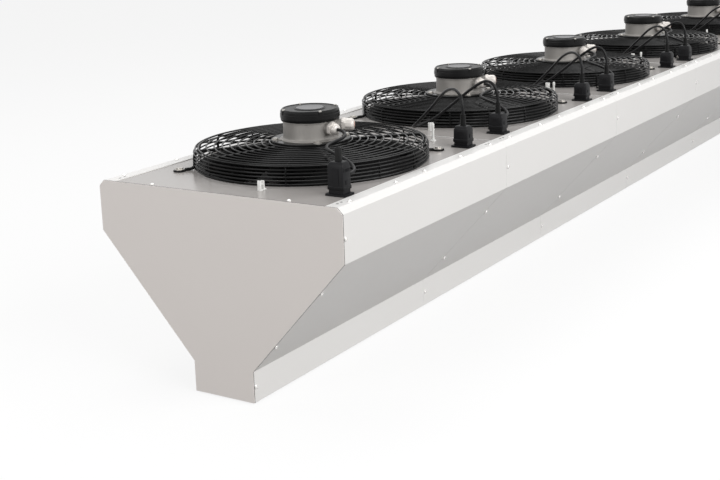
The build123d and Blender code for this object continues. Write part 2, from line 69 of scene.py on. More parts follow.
TAU = 2 * math.pi
ROOT = "root"
WELD = 2e-6
SLIVER = 1e-6
GRAIN_DEPTH = 0.0005
WIDE_SHARE = 0.8


class Slot(Enum):
    """Material slots of the record."""

    END = "end_paint"
    TOP = "top_paint"
    PANEL = "panel_paint"
    ZINC = "zinc_sheet"
    SCREW = "screw_white"
    GUARD = "guard_black"
    CAN = "cast_can"
    FAN = "fan_black"
    RING = "ring_black"
    COVER = "cover_black"
    GLAND = "gland_nickel"
    BOLT = "bolt_steel"
    PLUG = "plug_black"
    SLEEVE = "sleeve_rubber"
    CLIP = "clip_white"
    CABLE = "cable_black"


class Grain(Enum):
    """Surface textures that a finish can have."""

    PEEL = "peel"
    CAST = "cast"
    BRUSHED = "brushed"
    MOULDED = "moulded"


@dataclass(frozen=True)
class Finish:
    """One surface finish, built as a node material on object coordinates."""

    name: str
    color: tuple[float, float, float]
    shade: tuple[float, float, float]
    roughness: float
    roughness_spread: float = 0.08
    metallic: float = 0.0
    grain: Grain = Grain.PEEL
    grain_scale: float = 700.0
    bump: float = 0.05
    patch_scale: float = 6.0
    gloss: float = 0.5

    def build(self) -> bpy.types.Material:
        """Make the material: patchy colour and roughness, fine grain as bump.

        Returns:
            The material.
        """
        material = bpy.data.materials.new(self.name)
        material.use_nodes = True
        tree = material.node_tree
        shader = tree.nodes["Principled BSDF"]
        shader.inputs["Metallic"].default_value = self.metallic
        shader.inputs["Specular IOR Level"].default_value = self.gloss
        coordinates = tree.nodes.new("ShaderNodeTexCoord").outputs["Object"]
        patches = self._noise(tree, coordinates, self.patch_scale, 5.0)
        tint = tree.nodes.new("ShaderNodeMix")
        tint.data_type = "RGBA"
        tint.inputs["A"].default_value = (*self.color, 1.0)
        tint.inputs["B"].default_value = (*self.shade, 1.0)
        tree.links.new(patches, tint.inputs["Factor"])
        tree.links.new(tint.outputs["Result"], shader.inputs["Base Color"])
        spread = tree.nodes.new("ShaderNodeMapRange")
        spread.inputs["To Min"].default_value = max(0.02, self.roughness - self.roughness_spread)
        spread.inputs["To Max"].default_value = min(1.0, self.roughness + self.roughness_spread)
        tree.links.new(self._noise(tree, coordinates, self.patch_scale * 7, 8.0), spread.inputs["Value"])
        tree.links.new(spread.outputs["Result"], shader.inputs["Roughness"])
        bump = tree.nodes.new("ShaderNodeBump")
        bump.inputs["Strength"].default_value = self.bump
        bump.inputs["Distance"].default_value = GRAIN_DEPTH
        tree.links.new(self._grain(tree, coordinates), bump.inputs["Height"])
        tree.links.new(bump.outputs["Normal"], shader.inputs["Normal"])
        return material

    @staticmethod
    def _noise(tree: bpy.types.NodeTree, vector: bpy.types.NodeSocket, scale: float,
               detail: float) -> bpy.types.NodeSocket:
        """A noise texture's value on a vector.

        Args:
            tree: node tree of the material.
            vector: socket with the coordinates.
            scale: features per metre.
            detail: octaves of the noise.

        Returns:
            The socket with the noise value.
        """
        noise = tree.nodes.new("ShaderNodeTexNoise")
        noise.inputs["Scale"].default_value = scale
        noise.inputs["Detail"].default_value = detail
        tree.links.new(vector, noise.inputs["Vector"])
        return noise.outputs["Fac"]

    def _grain(self, tree: bpy.types.NodeTree, coordinates: bpy.types.NodeSocket) -> bpy.types.NodeSocket:
        """Height of the fine grain, by the kind of surface.

        Args:
            tree: node tree of the material.
            coordinates: socket with the object's coordinates.

        Returns:
            The socket with the height.
        """
        if self.grain is Grain.BRUSHED:
            stretch = tree.nodes.new("ShaderNodeMapping")
            stretch.inputs["Scale"].default_value = (0.05, 1.0, 1.0)
            tree.links.new(coordinates, stretch.inputs["Vector"])
            return self._noise(tree, stretch.outputs["Vector"], self.grain_scale, 3.0)
        if self.grain is Grain.CAST:
            cells = tree.nodes.new("ShaderNodeTexVoronoi")
            cells.feature = "SMOOTH_F1"
            cells.inputs["Scale"].default_value = self.grain_scale
            tree.links.new(coordinates, cells.inputs["Vector"])
            return cells.outputs["Distance"]
        detail = 2.0 if self.grain is Grain.PEEL else 9.0
        return self._noise(tree, coordinates, self.grain_scale, detail)


FINISHES: dict[Slot, Finish] = {
    Slot.END: Finish("end_paint", (0.84, 0.795, 0.765), (0.82, 0.775, 0.745), 0.42, bump=0.05),
    Slot.TOP: Finish("top_paint", (0.38, 0.36, 0.345), (0.36, 0.34, 0.325), 0.24, 0.03,
                     bump=0.02, patch_scale=3.0),
    Slot.PANEL: Finish("panel_paint", (0.77, 0.76, 0.745), (0.75, 0.74, 0.725), 0.36, 0.05, bump=0.04),
    Slot.ZINC: Finish("zinc_sheet", (0.60, 0.61, 0.62), (0.50, 0.51, 0.53), 0.38, 0.12, 1.0,
                      grain=Grain.CAST, grain_scale=90.0, bump=0.05),
    Slot.SCREW: Finish("screw_white", (0.80, 0.79, 0.77), (0.70, 0.69, 0.67), 0.26, 0.08, 0.7,
                       grain_scale=1500.0),
    Slot.GUARD: Finish("guard_black", (0.004, 0.004, 0.004), (0.007, 0.007, 0.007), 0.24, 0.06,
                       bump=0.03, gloss=0.12),
    Slot.CAN: Finish("cast_can", (0.32, 0.305, 0.285), (0.17, 0.16, 0.15), 0.46, 0.12, 0.4,
                     grain=Grain.CAST, grain_scale=650.0, bump=0.3, patch_scale=22.0),
    Slot.FAN: Finish("fan_black", (0.004, 0.004, 0.004), (0.006, 0.006, 0.006), 0.55, 0.06,
                     bump=0.05, gloss=0.04),
    Slot.RING: Finish("ring_black", (0.005, 0.005, 0.005), (0.008, 0.008, 0.008), 0.55, 0.08,
                      bump=0.05, gloss=0.04),
    Slot.COVER: Finish("cover_black", (0.005, 0.005, 0.005), (0.009, 0.009, 0.009), 0.34, 0.1,
                       grain=Grain.MOULDED, grain_scale=900.0, bump=0.12, patch_scale=30.0, gloss=0.14),
    Slot.GLAND: Finish("gland_nickel", (0.70, 0.66, 0.62), (0.56, 0.53, 0.50), 0.38, 0.1, 0.2,
                       grain=Grain.MOULDED, grain_scale=900.0, bump=0.1, patch_scale=60.0),
    Slot.BOLT: Finish("bolt_steel", (0.56, 0.54, 0.50), (0.36, 0.34, 0.32), 0.33, 0.12, 1.0,
                      grain=Grain.BRUSHED, grain_scale=900.0, bump=0.08, patch_scale=80.0),
    Slot.PLUG: Finish("plug_black", (0.006, 0.006, 0.007), (0.010, 0.010, 0.011), 0.44, 0.08,
                      grain=Grain.MOULDED, grain_scale=1300.0, bump=0.14, patch_scale=40.0, gloss=0.14),
    Slot.SLEEVE: Finish("sleeve_rubber", (0.006, 0.006, 0.006), (0.010, 0.010, 0.010), 0.50, 0.08,
                        grain=Grain.MOULDED, grain_scale=1500.0, bump=0.12, patch_scale=50.0, gloss=0.14),
    Slot.CLIP: Finish("clip_white", (0.78, 0.78, 0.76), (0.72, 0.72, 0.70), 0.4, 0.08,
                      grain=Grain.MOULDED, grain_scale=1200.0, bump=0.06),
    Slot.CABLE: Finish("cable_black", (0.005, 0.005, 0.005), (0.009, 0.009, 0.010), 0.34, 0.08,
                       grain=Grain.MOULDED, grain_scale=1600.0, bump=0.06, patch_scale=30.0, gloss=0.16),
}
PLAIN_DISC = Finish("cover_disc", (0.10, 0.10, 0.105), (0.14, 0.14, 0.145), 0.38, 0.1, 0.3,
                    grain=Grain.BRUSHED, grain_scale=700.0, bump=0.08, patch_scale=40.0)
SEAL = Finish("seam_seal", (0.05, 0.048, 0.046), (0.08, 0.077, 0.074), 0.7, gloss=0.1)
# Pale colour of the module seam strips: a painted highlight, standing for the light on the seam's edges.
SEAM_HIGHLIGHT_PAINT = Finish("module_seal", (0.80, 0.79, 0.78), (0.74, 0.73, 0.72), 0.4)
PINK_PLUG = Finish("blank_insert", (0.62, 0.42, 0.36), (0.55, 0.37, 0.32), 0.5, grain=Grain.MOULDED)


@dataclass
class Library:
    """The finished materials, made once each."""

    made: dict[str, bpy.types.Material] = field(default_factory=dict)

    def get(self, finish: Finish) -> bpy.types.Material:
        """The material of a finish.

        Args:
            finish: the finish.

        Returns:
            The material, made on the first call.
        """
        if finish.name not in self.made:
            self.made[finish.name] = finish.build()
        return self.made[finish.name]


@dataclass
class Shell:
    """Vertices and quads of one piece, gathered from grids of points."""

    blocks: list[np.ndarray] = field(default_factory=list)
    quads: list[np.ndarray] = field(default_factory=list)
    count: int = 0

    def grid(self, points: np.ndarray, wrap_u: bool = False, wrap_v: bool = True) -> None:
        """Add a grid: quad (i, j) joins points (i, j), (i+1, j), (i+1, j+1), (i, j+1).

        Args:
            points: array of shape (rows, columns, 3).
            wrap_u: the last row joins the first.
            wrap_v: the last column joins the first.
        """
        rows, columns = points.shape[:2]
        index = np.arange(rows * columns).reshape(rows, columns) + self.count
        if wrap_u:
            index = np.vstack([index, index[:1]])
        if wrap_v:
            index = np.hstack([index, index[:, :1]])
        corners = (index[:-1, :-1], index[1:, :-1], index[1:, 1:], index[:-1, 1:])
        self.quads.append(np.stack(corners, -1).reshape(-1, 4))
        self.blocks.append(points.reshape(-1, 3))
        self.count += rows * columns

    def place(self, other: "Shell", matrix: Matrix = Matrix.Identity(4)) -> None:
        """Add a copy of another shell: each point is the matrix times the point.

        Args:
            other: the shell to copy.
            matrix: where the copy goes; as it stands if none is given.
        """
        turned = np.array(matrix.to_3x3())
        shift = np.array(matrix.to_translation())
        for points in other.blocks:
            self.blocks.append(points @ turned.T + shift)
        for quads in other.quads:
            self.quads.append(quads + self.count)
        self.count += other.count

    def build(self, name: str, library: Library, slot: Slot, finish: Finish | None = None,
              body: str = ROOT, smooth: float = 35.0) -> bpy.types.Object:
        """Make the piece: merge seams and poles, point faces outwards, shade by angle.

        Args:
            name: name of the piece.
            library: the finished materials.
            slot: the record's slot that the finish stands for.
            finish: its finish, where it isn't the slot's own.
            body: the body that carries the piece.
            smooth: edges sharper than this many degrees stay sharp.

        Returns:
            The finished object, at the origin.
        """
        points = np.concatenate(self.blocks).astype(np.float32)
        quads = np.concatenate(self.quads).astype(np.int32)
        mesh = bpy.data.meshes.new(name)
        mesh.vertices.add(len(points))
        mesh.vertices.foreach_set("co", points.ravel())
        mesh.loops.add(quads.size)
        mesh.loops.foreach_set("vertex_index", quads.ravel())
        mesh.polygons.add(len(quads))
        mesh.polygons.foreach_set("loop_start", np.arange(0, quads.size, 4, dtype=np.int32))
        mesh.update(calc_edges=True)
        work = bmesh.new()
        work.from_mesh(mesh)
        bmesh.ops.remove_doubles(work, verts=work.verts, dist=WELD)
        bmesh.ops.dissolve_degenerate(work, edges=work.edges, dist=SLIVER)
        bmesh.ops.recalc_face_normals(work, faces=work.faces)
        for face in work.faces:
            face.smooth = True
        for edge in work.edges:
            edge.smooth = len(edge.link_faces) == 2 and edge.calc_face_angle(0.0) < math.radians(smooth)
        work.to_mesh(mesh)
        work.free()
        piece = bpy.data.objects.new(name, mesh)
        bpy.context.scene.collection.objects.link(piece)
        piece.data.materials.append(library.get(finish or FINISHES[slot]))
        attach(piece, body)
        log.info("%s: %d faces", name, len(mesh.polygons))
        return piece


def lathe(profile: list[tuple[float, float]], sides: int = 48) -> Shell:
    """Turn a profile about Z: point (r, z) at angle a is (r cos a, r sin a, z).

    Args:
        profile: radius and height of each row; radius 0 closes a pole.
        sides: columns of the grid.

    Returns:
        The shell.
    """
    radius, height = np.array(profile, float).T
    angle = np.linspace(0, TAU, sides, endpoint=False)
    points = np.stack([
        radius[:, None] * np.cos(angle), radius[:, None] * np.sin(angle),
        np.repeat(height[:, None], sides, 1)], -1)
    shell = Shell()
    shell.grid(points)
    return shell


def rounded_outline(size_x: float, size_y: float, corner: float, steps: int = 5) -> np.ndarray:
    """Closed outline of a rectangle with quarter-circle corners, as (n, 2) points.

    Args:
        size_x: width.
        size_y: depth.
        corner: radius of the corners.
        steps: points of each corner.

    Returns:
        The points.
    """
    turn = np.linspace(0, math.pi / 2, steps)
    arcs = []
    for quarter, (sx, sy) in enumerate(((1, 1), (-1, 1), (-1, -1), (1, -1))):
        angle = turn + quarter * math.pi / 2
        arcs.append(np.stack([
            sx * (size_x / 2 - corner) + corner * np.cos(angle),
            sy * (size_y / 2 - corner) + corner * np.sin(angle)], -1))
    return np.concatenate(arcs)


def stacked(levels: list[tuple[float, float, float, float]]) -> Shell:
    """Loft of rounded rectangles: each level is (size_x, size_y, corner, height), ends closed.

    Args:
        levels: the rectangles, upwards.

    Returns:
        The shell.
    """
    rows = []
    for size_x, size_y, corner, height in levels:
        outline = rounded_outline(size_x, size_y, corner)
        rows.append(np.column_stack([outline, np.full(len(outline), height)]))
    first, last = rows[0], rows[-1]
    middle = np.array([0.0, 0.0, 1.0])
    rows.insert(0, np.repeat([middle * first[0, 2]], len(first), 0))
    rows.append(np.repeat([middle * last[0, 2]], len(last), 0))
    shell = Shell()
    shell.grid(np.array(rows))
    return shell


def swept(path: np.ndarray, radius: np.ndarray | float, sides: int = 8, closed: bool = False) -> Shell:
    """A round wire along a path: each row is a circle in the plane square to the path there.

    Args:
        path: (n, 3) points.
        radius: one radius or one a point.
        sides: points of each circle.
        closed: the path is a loop; otherwise its ends are closed with poles.

    Returns:
        The shell.
    """
    if closed:
        along = np.roll(path, -1, 0) - np.roll(path, 1, 0)
    else:
        along = np.gradient(path, axis=0)
    along /= np.linalg.norm(along, axis=1, keepdims=True)
    guide = np.array([0.0, 0.0, 1.0]) if np.abs(along[:, 2]).max() < 0.9 else plane_normal(path)
    side = np.cross(along, guide)
    side /= np.linalg.norm(side, axis=1, keepdims=True)
    up = np.cross(side, along)
    angle = np.linspace(0, TAU, sides, endpoint=False)
    size = np.broadcast_to(np.asarray(radius, float), (len(path),))[:, None, None]
    rings = path[:, None] + size * (np.cos(angle)[None, :, None] * side[:, None]
                                    + np.sin(angle)[None, :, None] * up[:, None])
    if not closed:
        rings = np.concatenate([np.repeat(path[:1, None], sides, 1), rings,
                                np.repeat(path[-1:, None], sides, 1)])
    shell = Shell()
    shell.grid(rings, wrap_u=closed)
    return shell


def plane_normal(path: np.ndarray) -> np.ndarray:
    """Normal of the plane that fits a path best: the last axis of its spread.

    Args:
        path: (n, 3) points.

    Returns:
        The unit normal.
    """
    return np.linalg.svd(path - path.mean(0))[2][-1]


def rounded_path(corners: list[tuple[float, float, float]], radius: float, steps: int = 6) -> np.ndarray:
    """Polyline with each corner replaced by a quadratic curve that starts a radius before it.

    Args:
        corners: the polyline.
        radius: where each curve starts and ends.
        steps: points of each curve.

    Returns:
        The (n, 3) points.
    """
    points = np.array(corners, float)
    share = np.linspace(0, 1, steps)[:, None]
    rows = [points[:1]]
    for before, here, after in zip(points, points[1:], points[2:]):
        reach_a = min(radius, np.linalg.norm(before - here) / 2)
        reach_b = min(radius, np.linalg.norm(after - here) / 2)
        a = here + (before - here) / np.linalg.norm(before - here) * reach_a
        b = here + (after - here) / np.linalg.norm(after - here) * reach_b
        rows.append((1 - share) ** 2 * a + 2 * share * (1 - share) * here + share ** 2 * b)
    rows.append(points[-1:])
    return np.concatenate(rows)


def upright(x: float, y: float, z: float, angle: float = 0.0) -> Matrix:
    """Matrix that turns a shape about Z and moves it.

    Args:
        x, y, z: where it goes.
        angle: its turn.

    Returns:
        The matrix.
    """
    return Matrix.Translation((x, y, z)) @ Matrix.Rotation(angle, 4, "Z")


def outward(x: float, y: float, z: float, angle: float, reach: float) -> Matrix:
    """Matrix that lays a shape's Z axis along a horizontal direction, a reach away.

    Args:
        x, y, z: the axis from which the reach counts.
        angle: the direction.
        reach: distance along it.

    Returns:
        The matrix.
    """
    return (Matrix.Translation((x, y, z)) @ Matrix.Rotation(angle, 4, "Z")
            @ Matrix.Translation((reach, 0, 0)) @ Matrix.Rotation(math.pi / 2, 4, "Y"))


def around(centre: tuple[float, float, float], radius: float, angle: float, rise: float = 0.0,
           spin: float = 0.0) -> Matrix:
    """Matrix that stands a shape on a circle about an upright axis.

    Args:
        centre: the axis, at the height from which the rise counts.
        radius: radius of the circle.
        angle: place on the circle.
        rise: height above the centre.
        spin: turn of the shape about its own axis.

    Returns:
        The matrix.
    """
    x, y, z = centre
    return upright(x + radius * math.cos(angle), y + radius * math.sin(angle), z + rise, spin)


def posed(axes: list[np.ndarray], place: tuple[float, float, float] | np.ndarray) -> Matrix:
    """Matrix with the given X, Y and Z axes and place.

    Args:
        axes: three unit vectors.
        place: where the origin goes.

    Returns:
        The matrix.
    """
    rows = zip(np.column_stack(axes), place)
    return Matrix([[*row, shift] for row, shift in rows] + [[0, 0, 0, 1]])


def hexagon(radius: float, levels: list[tuple[float, float]]) -> Shell:
    """Six-sided head: radius at angle a is flat / cos(a mod 60 - 30), cut to each level's limit.

    Args:
        radius: distance from the axis to a corner.
        levels: limit of the radius and height of each row; limit 0 closes a pole.

    Returns:
        The shell.
    """
    angle = np.linspace(0, TAU, 48, endpoint=False)
    reach = radius * math.cos(math.pi / 6) / np.cos((angle % (TAU / 6)) - TAU / 12)
    rows = [np.stack([np.minimum(reach, limit) * np.cos(angle), np.minimum(reach, limit) * np.sin(angle),
                      np.full(48, height)], -1) for limit, height in levels]
    shell = Shell()
    shell.grid(np.array(rows))
    return shell


@dataclass
class Layout:
    """Places read from the frame: fan centres, module pitch and the top plate."""

    centres: list[tuple[float, float, float]]
    pitch: float

    @classmethod
    def read(cls, frame: dict) -> "Layout":
        """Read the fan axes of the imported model.

        Args:
            frame: the loaded frame.

        Returns:
            The layout.
        """
        centres = [tuple(joint["pos_m"]) for joint in frame["joints"]]
        return cls(centres, centres[1][0] - centres[0][0])

    @property
    def plate(self) -> float:
        """Height of the top plate."""
        return self.centres[0][2]

    def start(self, index: int) -> float:
        """Where a module starts along X.

        Args:
            index: number of the module, from 0.

        Returns:
            The X of its left end.
        """
        return self.centres[index][0] - self.pitch / 2


@dataclass
class Housing:
    """Folded sheets, frames and vanes, kept from the frame and given their finishes."""

    library: Library
    by_prefix: dict[str, Slot] = field(default_factory=lambda: {
        "end_plate": Slot.END, "top_plate": Slot.TOP, "front_panel": Slot.PANEL,
        "rear_panel": Slot.PANEL, "joint_frame": Slot.ZINC, "outlet_vanes": Slot.ZINC,
        "inlet_rings": Slot.RING, "connector_bases": Slot.PLUG})

    def dress(self, nodes: dict[str, bpy.types.Object]) -> None:
        """Give each kept node its finish.

        Args:
            nodes: the frame's nodes by name.
        """
        for name, node in nodes.items():
            for prefix, slot in self.by_prefix.items():
                if name.startswith(prefix):
                    node.data.materials.clear()
                    node.data.materials.append(self.library.get(FINISHES[slot]))


@dataclass
class Screws:
    """Pan heads with a cross recess on every screw place of the housing."""

    library: Library
    head_radius: float = 0.0045
    head_height: float = 0.003
    sides: int = 20

    def head(self) -> Shell:
        """Domed head: height falls as the square of the radius, with a sunk centre.

        Returns:
            The head, standing on Z.
        """
        share = np.linspace(1.0, 0.36, 6)
        dome = [(self.head_radius * s, self.head_height * (1 - 0.55 * s ** 2)) for s in share]
        recess = [(self.head_radius * 0.30, dome[-1][1] - 0.0008), (0.0, dome[-1][1] - 0.0010)]
        return lathe([(0.0, 0.0), (self.head_radius, 0.0), (self.head_radius, 0.0008), *dome, *recess],
                     self.sides)

    def build(self, node: bpy.types.Object, name: str) -> bpy.types.Object:
        """Put a head on each screw of a node.

        Args:
            node: CAD node of separate screws.
            name: name of the piece.

        Returns:
            The piece that stands for the node.
        """
        shell = Shell()
        head = self.head()
        for island in islands(node):
            shell.place(head, self._seat(island))
        piece = shell.build(name, self.library, Slot.SCREW)
        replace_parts(piece, node.name)
        return piece

    def _seat(self, island: np.ndarray) -> Matrix:
        """Seat of one screw: its axis is the island's long axis, pointing to the wide end.

        Args:
            island: points of the screw.

        Returns:
            The matrix that puts a head there.
        """
        middle = island.mean(0)
        along = self._axis(island, np.linalg.svd(island - middle)[2])
        radial = np.linalg.norm(np.cross(island - middle, along), axis=1)
        wide = radial > self.head_radius * WIDE_SHARE
        centre = (island[wide].max(0) + island[wide].min(0)) / 2
        top = centre + along * (((island - centre) @ along).max() - self.head_height)
        side = np.cross(along, (1.0, 0.0, 0.0))
        side /= np.linalg.norm(side)
        return posed([side, np.cross(along, side), along], top)

    @staticmethod
    def _axis(island: np.ndarray, axes: np.ndarray) -> np.ndarray:
        """The axis about which the wide end lies at one side, pointing to it.

        Args:
            island: points of the screw.
            axes: the three axes of their spread.

        Returns:
            The unit axis.
        """
        middle = (island.max(0) + island.min(0)) / 2
        spreads = []
        for axis in axes:
            radial = np.linalg.norm(np.cross(island - island.mean(0), axis), axis=1)
            spreads.append(radial.max())
        axis = axes[int(np.argmin(spreads))]
        radial = np.linalg.norm(np.cross(island - middle, axis), axis=1)
        wide = island[radial > WIDE_SHARE * radial.max()].mean(0)
        return axis if (wide - island.mean(0)) @ axis > 0 else -axis


def islands(node: bpy.types.Object) -> list[np.ndarray]:
    """Points of each separate solid of a node.

    Args:
        node: a mesh object.

    Returns:
        One (n, 3) array a solid.
    """
    work = bmesh.new()
    work.from_mesh(node.data)
    bmesh.ops.remove_doubles(work, verts=work.verts, dist=1e-5)
    seen: set[int] = set()
    found = []
    for vertex in work.verts:
        if vertex.index in seen:
            continue
        stack, group = [vertex], []
        seen.add(vertex.index)
        while stack:
            here = stack.pop()
            group.append(tuple(here.co))
            for edge in here.link_edges:
                other = edge.other_vert(here)
                if other.index not in seen:
                    seen.add(other.index)
                    stack.append(other)
        found.append(np.array(group))
    work.free()
    return found


@dataclass
class WireGuard:
    """Round-wire guard: side rings, crown rings, thin spokes, strap legs and feet."""

    library: Library
    radius: float = 0.253
    wire: float = 0.0018
    base: float = 0.0041
    shoulder: float = 0.044
    bend: float = 0.010
    crown: float = 0.047
    hub: float = 0.086
    hub_bore: float = 0.0625
    side_rings: int = 5
    crown_rings: int = 10
    spokes: int = 8
    strap: float = 0.0035
    foot: tuple[float, float] = (0.204, 0.200)
    foot_radius: float = 0.0138
    stay_angles: tuple[float, ...] = (math.radians(-88), math.radians(92))
    foot_height: float = 0.004

    def rings(self) -> list[tuple[float, float]]:
        """Radius and height of each ring: even steps up the side, then in to the hub.

        Returns:
            One pair a ring.
        """
        step = (self.shoulder - self.bend - self.base) / (self.side_rings - 1)
        rings = [(self.radius, self.base + n * step) for n in range(self.side_rings)]
        rings.append((self.radius - self.bend / 3, self.shoulder - self.bend / 3))
        inner, outer = self.hub + 2 * self.wire, self.radius - self.bend
        for n in range(self.crown_rings):
            share = n / (self.crown_rings - 1)
            height = self.crown + (self.shoulder - self.crown) * share - self.wire
            rings.append((inner + (outer - inner) * share, height))
        return rings

    def feet(self) -> list[tuple[float, float]]:
        """Places of the four feet about the fan's axis.

        Returns:
            X and Y of each foot.
        """
        return [(sx * self.foot[0], sy * self.foot[1]) for sx in (-1, 1) for sy in (-1, 1)]

    def leg(self, angle: float, wire: float, drop: float) -> Shell:
        """A wire from the hub over the shoulder and down to the base, under the rings.

        Args:
            angle: its direction.
            wire: its radius.
            drop: how far it lies under the crown.

        Returns:
            The wire.
        """
        line = [(self.hub - 0.008, self.crown - drop), (self.radius - self.bend, self.shoulder - drop),
                (self.radius - self.wire, self.shoulder - self.bend), (self.radius - self.wire, self.base)]
        corners = [(r * math.cos(angle), r * math.sin(angle), z) for r, z in line]
        return swept(rounded_path(corners, 0.012), wire, 8)

    def foot_strap(self, x: float, y: float) -> Shell:
        """Strap rod down the side, then out to a round foot with its hole's collar.

        Args:
            x, y: place of the foot about the fan's axis.

        Returns:
            The strap and foot.
        """
        angle, reach = math.atan2(y, x), math.hypot(x, y)
        line = [(self.hub - 0.004, self.crown - 0.0055),
                (self.radius - self.bend - 0.002, self.shoulder - 0.0035),
                (self.radius + 0.0005, self.shoulder - self.bend), (self.radius + 0.0005, self.foot_height),
                (reach - self.foot_radius * 0.8, self.foot_height * 0.75)]
        corners = [(r * math.cos(angle), r * math.sin(angle), z) for r, z in line]
        shell = swept(rounded_path(corners, 0.010), self.strap, 10)
        outer, top = self.foot_radius, self.foot_height
        washer = lathe([(0.0, 0.0002), (outer, 0.0002), (outer, top * 0.6), (outer - 0.001, top * 0.9),
                        (outer - 0.003, top * 0.98), (0.006, top), (0.0, top)], 28)
        shell.place(washer, upright(x, y, 0.0))
        return shell

    def build(self, centre: tuple[float, float, float], node: str) -> bpy.types.Object:
        """Make one guard.

        Args:
            centre: the fan's axis on the top plate.
            node: CAD node that the guard stands for.

        Returns:
            The guard.
        """
        shell = Shell()
        turn = np.linspace(0, TAU, 96, endpoint=False)
        for radius, height in self.rings():
            circle = np.stack([radius * np.cos(turn), radius * np.sin(turn), np.full(96, height)], -1)
            shell.place(swept(circle, self.wire, 8, closed=True))
        for n in range(self.spokes):
            shell.place(self.leg((n + 0.5) * TAU / self.spokes, self.wire, 0.0034))
        for angle in self.stay_angles:
            shell.place(self.leg(angle, self.strap * 0.8, 0.0045))
        for x, y in self.feet():
            shell.place(self.foot_strap(x, y))
        bore, low, high = self.hub_bore, self.crown - 0.0036, self.crown - 0.0001
        plate = [(bore, low), (self.hub, low), (self.hub + 0.0004, self.crown - 0.0020),
                 (self.hub, high), (bore, high)]
        shell.place(lathe(plate + plate[:1], 64))
        placed = Shell()
        placed.place(shell, upright(*centre))
        piece = placed.build(f"{node}_wires", self.library, Slot.GUARD)
        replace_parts(piece, node)
        return piece


def turned_bolt(head: float, height: float, washer: float) -> Shell:
    """Washer with a hexagon head on it.

    Args:
        head: radius of the head at its corners.
        height: height of the head's top.
        washer: radius of the washer.

    Returns:
        The bolt's head, standing on Z.
    """
    shell = lathe([(0.0, 0.0), (washer, 0.0), (washer, 0.0010), (washer - 0.0004, 0.0013), (0.0, 0.0013)], 28)
    shell.place(hexagon(head, [(0.0, 0.0012), (head, 0.0012), (head, height * 0.8), (head * 0.9, height),
                               (0.0, height)]))
    return shell


@dataclass
class Hardware:
    """Washers and hexagon bolts that hold the guards' feet and the motors' flanges."""

    library: Library
    guard: WireGuard
    flange_ring: float = 0.078
    flange_seat: float = 0.053
    flange_bolts: int = 4
    foot_seat: float = 0.0038
    turns: tuple[float, float] = (0.4, 0.2)

    def build(self, layout: Layout) -> None:
        """Make the bolts of all fans.

        Args:
            layout: places read from the frame.
        """
        feet, flanges = Shell(), Shell()
        foot_bolt = turned_bolt(0.0082, 0.0042, 0.0104)
        flange_bolt = turned_bolt(0.0058, 0.0029, 0.0070)
        for x, y, z in layout.centres:
            for foot_x, foot_y in self.guard.feet():
                feet.place(foot_bolt, upright(x + foot_x, y + foot_y, z + self.foot_seat, self.turns[0]))
            for n in range(self.flange_bolts):
                angle = (n + 0.5) * TAU / self.flange_bolts
                flanges.place(flange_bolt, around((x, y, z), self.flange_ring, angle, self.flange_seat,
                                                  self.turns[1]))
        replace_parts(feet.build("guard_foot_bolts", self.library, Slot.BOLT), "guard_bolts")
        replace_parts(flanges.build("motor_flange_bolts", self.library, Slot.BOLT), "motor_bolts")


@dataclass
class MotorCan:
    """Cast can with a narrow lip, lugs at its bolts, bosses for the glands, on a black plate."""

    library: Library
    can: float = 0.060
    lip: float = 0.067
    plate: float = 0.0858
    seat: float = 0.0471
    flange_top: float = 0.0529
    top: float = 0.092
    stator: float = 0.058
    stator_low: float = -0.0418
    shaft: float = 0.0084
    shaft_low: float = -0.0538

    def castings(self, motor: "Motor") -> Shell:
        """Can, lip, four lugs and two bosses, standing on Z about the fan's axis.

        Args:
            motor: gives the glands' angles and height.

        Returns:
            The casting.
        """
        seat, flange, top = self.seat, self.flange_top, self.top
        shell = lathe([
            (0.0, seat - 0.001), (self.lip, seat - 0.001), (self.lip, flange - 0.0012),
            (self.lip - 0.0012, flange),
            (self.can + 0.0022, flange + 0.0004), (self.can + 0.0002, flange + 0.0024),
            (self.can - 0.0004, flange + 0.006), (self.can - 0.0009, top - 0.0034),
            (self.can + 0.0006, top - 0.0026),
            (self.can + 0.0006, top), (0.0, top)], 96)
        lug = lathe([(0.0, seat), (0.0088, seat), (0.0088, flange - 0.0008), (0.0080, flange),
                     (0.0, flange)], 28)
        for n in range(4):
            angle = (n + 0.5) * TAU / 4
            for reach in (0.070, 0.0768):
                shell.place(lug, around((0, 0, 0), reach, angle))
        boss = lathe([(0.0, -0.012), (0.0148, -0.012), (0.0140, -0.002), (0.0129, 0.0055), (0.0129, 0.0078),
                      (0.0, 0.0078)], 40)
        for angle in (motor.cable_angle, motor.blank_angle):
            shell.place(boss, outward(0, 0, motor.gland_height, angle, self.can))
        return shell

    def core(self) -> Shell:
        """Stator and shaft under the plate."""
        low, far = self.stator_low, self.shaft_low
        return lathe([(0.0, far), (self.shaft, far), (self.shaft, low), (self.stator, low),
                      (self.stator, 0.030), (self.stator, self.seat + 0.001), (0.0, self.seat + 0.001)], 64)

    def flange(self) -> Shell:
        """Black mounting plate between the guard's hub and the can."""
        seat, flange = self.seat, self.flange_top
        return lathe([(0.050, seat), (self.plate, seat), (self.plate, flange - 0.0026),
                      (self.plate - 0.0016, flange - 0.0014), (0.050, flange - 0.0014), (0.050, seat)], 96)

    def build(self, motor: "Motor", centre: tuple[float, float, float], node: str) -> None:
        """Make the cast piece and the black plate of one fan.

        Args:
            motor: gives the glands' angles and height.
            centre: the fan's axis on the top plate.
            node: CAD node that they stand for.
        """
        cast, plate = Shell(), Shell()
        cast.place(self.castings(motor), upright(*centre))
        cast.place(self.core(), upright(*centre))
        plate.place(self.flange(), upright(*centre))
        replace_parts(cast.build(f"{node}_casting", self.library, Slot.CAN), node)
        plate.build(f"{node}_plate", self.library, Slot.CAN, finish=FINISHES[Slot.GUARD])


